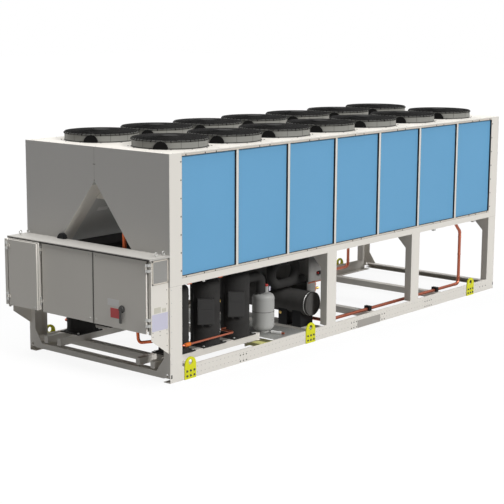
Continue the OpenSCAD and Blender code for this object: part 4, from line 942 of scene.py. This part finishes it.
RIM_Y, RIM_R, RIM_WIRE = 0.871, HEADER_R - 0.002, 0.0028
BAND_Y, BAND_PROUD = (0.30, 0.63), 0.0012
END_CAP_Y, END_CAP_R, END_CAP_WIRE = 0.906, 0.120, 0.0020
DRAIN_X, DRAIN_Y, DRAIN_Z = FRONT_X + 3.085, 0.662, 0.440
DRAIN_R, DRAIN_BEND = 0.014, 0.030
NUT_Z, NUT_R, NUT_WIRE = (0.475, 0.545), 0.0145, 0.004
POCKET = ((0.010, 0), (0.010, 0.018), (0.017, 0.020), (0.017, 0.040), (0.009, 0.042), (0.009, 0.056),
          (0, 0.057))
POCKET_Z = 0.492
PLUG_X, PLUG_Z, PLUG_OUT = (DRAIN_X + 0.005, DRAIN_X + 0.060), (0.672, 0.712), 0.045
PLUG_SEAL_X, PLUG_SEAL_Z, PLUG_SEAL_OUT = (DRAIN_X - 0.006, DRAIN_X + 0.005), (0.680, 0.704), 0.030
APRON_LOW, LONG_APRON_LOW, APRON_T, APRON_LAP = 0.450, 0.470, 0.004, 0.020
TRIM_R, TRIM_UP = 0.006, 0.008
TAPE_PROUD, TAPE_HALF, CORNER_HALF, TAPE_ROWS = 0.0015, 0.020, 0.007, 5
RETURN_R, RETURN_BEND, RETURN_Y = 0.056, 0.142, 0.600
RETURN_END, RETURN_LAP = FRONT_X + 2.770, 0.220


def vessel_fittings():
    rims, tape, edges, trims, aprons, bends = stocks(6)
    pockets, plugs, plug_seals, drains = stocks(4)
    low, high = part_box("evaporator")
    for side in SIDES:
        along = (0, side, 0)
        rims.hoop((HEADER_X, side * RIM_Y, HEADER_Z), RIM_R, RIM_WIRE, along, 56, 6)
        for y in BAND_Y:
            tape.hoop((HEADER_X, side * y, HEADER_Z), HEADER_R, BAND_PROUD, along, 48, 4, 9)
        tape.hoop((HEADER_X, side * END_CAP_Y, HEADER_Z), END_CAP_R, END_CAP_WIRE, along, 48, 4)

        y = side * DRAIN_Y
        drain = [(DRAIN_X, y, low.z + 0.004), (DRAIN_X, y, DRAIN_Z), (HEADER_X + HEADER_R * 0.93, y, DRAIN_Z)]
        drains.tube(rounded(drain, DRAIN_BEND), DRAIN_R, 12)
        for z in NUT_Z:
            drains.hoop((DRAIN_X, y, z), NUT_R, NUT_WIRE, around=20, sides=6, tall=2.5)
        pockets.turned(POCKET, [(DRAIN_X + 0.008, y, POCKET_Z)], (0.9, side * 0.4, 0), 12)

        end = side * high.y
        plugs.slab(PLUG_X, (end, end + side * PLUG_OUT), PLUG_Z, 0.004)
        plug_seals.slab(PLUG_SEAL_X, (end, end + side * PLUG_SEAL_OUT), PLUG_SEAL_Z, 0.002)
        aprons.slab((HEADER_X + HEADER_R + 0.006, DRAIN_X - 0.025), (end - side * APRON_T, end),
                    (APRON_LOW, low.z + APRON_LAP))
        trims.tube([(low.x - 0.004, end, low.z + TRIM_UP), (high.x - 0.02, end, low.z + TRIM_UP)], TRIM_R, 8)
        for x in (low.x + 0.006, high.x - 0.006):
            edges.slab((x - CORNER_HALF, x + CORNER_HALF), (end - side * 0.02, end + side * TAPE_PROUD),
                       (low.z + 0.02, high.z - 0.03), SHEET_EDGE)

        start, y = RETURN_END - RETURN_LAP, side * RETURN_Y
        z0 = low.z + RETURN_R
        z1 = z0 + 2 * RETURN_BEND
        turn = [(start, y, z0), (RETURN_END, y, z0), (RETURN_END, y, z1), (start, y, z1)]
        bends.tube(rounded(turn, RETURN_BEND - 0.001, 12), RETURN_R + 0.0015, 32)
    aprons.slab((low.x, low.x + APRON_T), (low.y + APRON_T, high.y - APRON_T),
                (LONG_APRON_LOW, low.z + APRON_LAP))
    for y in np.linspace(low.y + 0.12, high.y - 0.12, TAPE_ROWS):
        for x, out in ((low.x, -1), (high.x, 1)):
            edges.slab((x - out * 0.01, x + out * TAPE_PROUD), (y - TAPE_HALF, y + TAPE_HALF),
                       (low.z + 0.01, high.z - 0.030), SHEET_EDGE)
    rims.piece("header_rims", bright_steel)
    tape.piece("header_tape", header_jacket_lit)
    edges.piece("evaporator_tape", vessel_jacket_lit)
    aprons.piece("evaporator_aprons", vessel_jacket_lit)
    bends.piece("return_bends", jacket)
    trims.piece("evaporator_edge_trims", copper)
    pockets.piece("sensor_pockets", brass)
    plugs.piece("heater_plugs", plastic)
    plug_seals.piece("heater_plug_seals", red_plastic)
    drains.piece("drain_lines", copper)


vessel_fittings()

# Lines: brazed sleeves at the bends, the orange sleeve, the drip tube on the tray with its tip, the header's
# valve, clips, plugs and knobs under the upper rail, and two copper bends near the cabinet

LIQUID_Y, LIQUID_Z, LIQUID_R = 0.950, 0.146, 0.021
RISER_X = REAR_X - 0.661
LIQUID_SLEEVES = (FRONT_X + 3.06, FRONT_X + 4.42, FRONT_X + 5.15, RISER_X - 0.085)
RISER_SLEEVES = (0.240, 0.560, 0.800)
OIL_Y, OIL_Z, OIL_R = 0.9447, 0.314, 0.012
OIL_SLEEVES = (COMPRESSOR_X[0] + 0.20, COMPRESSOR_X[1] - 0.1)
SLEEVE_T, OIL_SLEEVE_T = 0.0025, 0.002
ORANGE_SLEEVE = (0.017, 0), (0.0215, 0.004), (0.0215, 0.082), (0.017, 0.086)
ORANGE_X = COMPRESSOR_X[0] - 0.043
DRIP_Z, DRIP_R, TIP_R = 0.172, 0.018, 0.013
DRIP_ENDS = (FRONT_X + 1.972, 0.880), (FRONT_X + 2.001, 1.015)
TIP_ENDS = (FRONT_X + 2.000, 1.010), (FRONT_X + 2.008, 1.048)
HEADER_VALVE = ((0.010, 0), (0.010, 0.02), (0.020, 0.026), (0.024, 0.040), (0.020, 0.054), (0.010, 0.060),
                (0, 0.061))
HEADER_VALVE_Y, VALVE_AXIS = 0.490, (-0.94, 0, -0.34)
RAIL_CLIPS_X, RAIL_CLIP_Y, RAIL_CLIP_H = ((1.930, 1.974), (2.920, 2.964)), (1.115, 1.075), 0.024
RAIL_PLUGS_X = (FRONT_X + 0.288, FRONT_X + 0.348), (FRONT_X + 0.783, FRONT_X + 0.843)
RAIL_PLUG_Y, RAIL_PLUG_H = (1.112, 1.080), 0.014
KNOB, KNOB_X, KNOB_Y = ((0.013, 0), (0.016, 0.006), (0.014, 0.018), (0, 0.020)), FRONT_X + 0.545, 1.100
LOOP_X, LOOP_BEND, LOOP_R = FRONT_X + 0.250, 0.045, 0.018
FEED_X, FEED_Y, FEED_Z = (FRONT_X + 0.100, FRONT_X + 0.215), -0.350, (1.268, 1.540)
FEED_BEND, FEED_R = 0.030, 0.022


def line_fittings():
    sleeves, orange, tube, clamps = stocks(4)
    valves, bends, plugs, knobs = stocks(4)
    for side in SIDES:
        for x in LIQUID_SLEEVES:
            sleeves.hoop((x, side * LIQUID_Y, LIQUID_Z), LIQUID_R, SLEEVE_T, (1, 0, 0), 24, 5, 5)
        for z in RISER_SLEEVES:
            sleeves.hoop((RISER_X, side * LIQUID_Y, z), LIQUID_R, SLEEVE_T, (0, 0, 1), 24, 5, 5)
        for x in OIL_SLEEVES:
            sleeves.hoop((x, side * OIL_Y, OIL_Z), OIL_R, OIL_SLEEVE_T, (1, 0, 0), 20, 5, 4)
        orange.turned(ORANGE_SLEEVE, [(ORANGE_X, side * OIL_Y, OIL_Z)], (1, 0, 0), 20)
        tube.tube([(x, side * y, DRIP_Z) for x, y in DRIP_ENDS], DRIP_R, 16)
        sleeves.tube([(x, side * y, DRIP_Z) for x, y in TIP_ENDS], TIP_R, 16)
        valves.turned(HEADER_VALVE, [(HEADER_X - 0.072, side * HEADER_VALVE_Y, HEADER_Z - 0.129)],
                      VALVE_AXIS, 16)
        for x in RAIL_CLIPS_X:
            clamps.slab(x, mirrored(side, RAIL_CLIP_Y), (BAY_TOP - RAIL_CLIP_H, BAY_TOP), 0.002)
        for x in RAIL_PLUGS_X:
            plugs.slab(x, mirrored(side, RAIL_PLUG_Y), (BAY_TOP - RAIL_PLUG_H, BAY_TOP), 0.003)
        knobs.turned(KNOB, [(KNOB_X, side * KNOB_Y, BAY_TOP)], (0, 0, -1), 16)
    jacket_x = COMPRESSOR_X[0] - 0.060
    loop = [(jacket_x, -0.640, 0.336), (LOOP_X, -0.600, 0.330), (LOOP_X, -0.400, 0.282),
            (LOOP_X, -0.378, 0.560), (jacket_x, -0.640, 0.560)]
    bends.tube(rounded(loop, LOOP_BEND), LOOP_R, 12)
    feed = [(FEED_X[0], FEED_Y, FEED_Z[0]), (FEED_X[0], FEED_Y, FEED_Z[1]), (FEED_X[1], FEED_Y, FEED_Z[1])]
    bends.tube(rounded(feed, FEED_BEND), FEED_R, 16)
    sleeves.piece("brazed_sleeves", copper)
    orange.piece("line_sleeves", orange_sleeve)
    tube.piece("drip_tubes", white_plastic)
    clamps.piece("rail_clips", zinc)
    valves.piece("header_valves", brass)
    bends.piece("copper_bends", orange_copper)
    plugs.piece("rail_plugs", orange_copper)
    knobs.piece("rail_knobs", white_plastic)


line_fittings()

# Inner coils: dark sheets of painted shade along their feet and a blank plate on the far one

COIL_SHADE_TOP, COIL_SHADE_T = 1.310, 0.004
COIL_PLATE_X, COIL_PLATE_Z, COIL_PLATE_T = (FRONT_X + 0.33, FRONT_X + 0.49), (1.672, 1.716), 0.002


def coil_feet():
    coil_shades, plate = stocks(2)
    low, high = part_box("inner_coils")
    lean = (RIDGE_Z - low.z) / high.y

    def on_coil(side, x, z, proud):
        """A point proud of the inner face of the coil on a side."""
        y = (RIDGE_Z - z) / lean
        return x, side * (y - proud * lean / math.hypot(lean, 1)), z - proud / math.hypot(lean, 1)

    def sheet(stock, side, x, z, thick):
        points = [on_coil(side, *place) for place in itertools.product(x, z, (0.0, thick))]
        faces = [(0, 1, 3, 2), (4, 6, 7, 5), (0, 4, 5, 1), (2, 3, 7, 6), (0, 2, 6, 4), (1, 5, 7, 3)]
        stock.add(points, faces)

    for side in SIDES:
        # Painted shade: dark sheets along the coils' feet at the tunnel's floor
        sheet(coil_shades, side, (low.x, high.x), (low.z + 0.012, COIL_SHADE_TOP), COIL_SHADE_T)
    sheet(plate, FAR, COIL_PLATE_X, COIL_PLATE_Z, COIL_PLATE_T)
    coil_shades.piece("coil_foot_shades", rubber_and_gap_shade)
    plate.piece("coil_blank_plate", blank_pale)


coil_feet()

# Camera at the photograph's place

AZIMUTH, ELEVATION, ROLL = (math.radians(a) for a in (-49.897, 10.266, 0.294))
EYE = Vector((-13.2825, -10.775, 3.955))
LENS, SENSOR, SIGHT = 97.55, 36, 200


def photo_camera():
    level = math.cos(ELEVATION)
    back = Vector((math.sin(AZIMUTH) * level, -math.cos(AZIMUTH) * level, math.sin(ELEVATION)))
    right = Vector((0, 0, 1)).cross(back).normalized()
    up = back.cross(right)
    right, up = math.cos(ROLL) * right + math.sin(ROLL) * up, math.cos(ROLL) * up - math.sin(ROLL) * right
    data = bpy.data.cameras.new("photo camera")
    data.lens, data.sensor_width, data.clip_end = LENS, SENSOR, SIGHT
    camera = bpy.data.objects.new("photo camera", data)
    camera.matrix_world = Matrix.Translation(EYE) @ Matrix((right, up, back)).transposed().to_4x4()
    bpy.context.scene.collection.objects.link(camera)
    bpy.context.scene.camera = camera


photo_camera()

# Studio: soft suns from above and from both long sides, an even sky that the camera sees as white,
# and a pale floor that keeps a light shadow

SUNS = (("side sun", (0.0, -0.857, 0.515), 2.66, 18), ("top sun", (0.0, 0.0, 1.0), 2.25, 50),
        ("far side sun", (0.0, 0.857, 0.515), 1.15, 18))
SKY_LEVEL = 0.03
FLOOR_TONE, FLOOR_SEEN, FLOOR_BOUNCE = 0.08, 0.91, 0.27
FLOOR_HALF, FLOOR_DROP = 70, 0.001


def studio():
    for name, towards, energy, angle in SUNS:
        data = bpy.data.lights.new(name, "SUN")
        data.energy, data.angle = energy, math.radians(angle)
        sun = bpy.data.objects.new(name, data)
        sun.rotation_euler = Vector(towards).to_track_quat("Z", "Y").to_euler()
        bpy.context.scene.collection.objects.link(sun)

    world = bpy.data.worlds.new("studio sky")
    bpy.context.scene.world = world
    world.use_nodes = True
    sky = Nodes(world.node_tree)
    shade = sky.tree.nodes["Background"].inputs
    sky.join(shade["Color"], (1, 1, 1, 1))
    sky.join(shade["Strength"], SKY_LEVEL + sky.seen() * (1 - SKY_LEVEL))

    mesh = bpy.data.meshes.new("floor")
    corners = [(x * FLOOR_HALF, y * FLOOR_HALF, -FLOOR_DROP) for x, y in ((-1, -1), (1, -1), (1, 1), (-1, 1))]
    mesh.from_pydata(corners, [], [(0, 1, 2, 3)])
    floor = bpy.data.objects.new("floor", mesh)
    bpy.context.scene.collection.objects.link(floor)
    material = bpy.data.materials.new("pale floor")
    material.use_nodes = True
    paint = Nodes(material.node_tree)
    matt = paint.node("ShaderNodeBsdfDiffuse", None, {"Color": (FLOOR_TONE, FLOOR_TONE, FLOOR_TONE, 1)})
    level = FLOOR_BOUNCE + paint.seen() * (FLOOR_SEEN - FLOOR_BOUNCE)
    lift = paint.node("ShaderNodeEmission", None, {"Strength": level})
    both = paint.node("ShaderNodeAddShader", None, {0: matt, 1: lift})
    paint.join(paint.tree.nodes["Material Output"].inputs["Surface"], both)
    mesh.materials.append(material)


studio()
bpy.context.scene.view_settings.view_transform = "Standard"
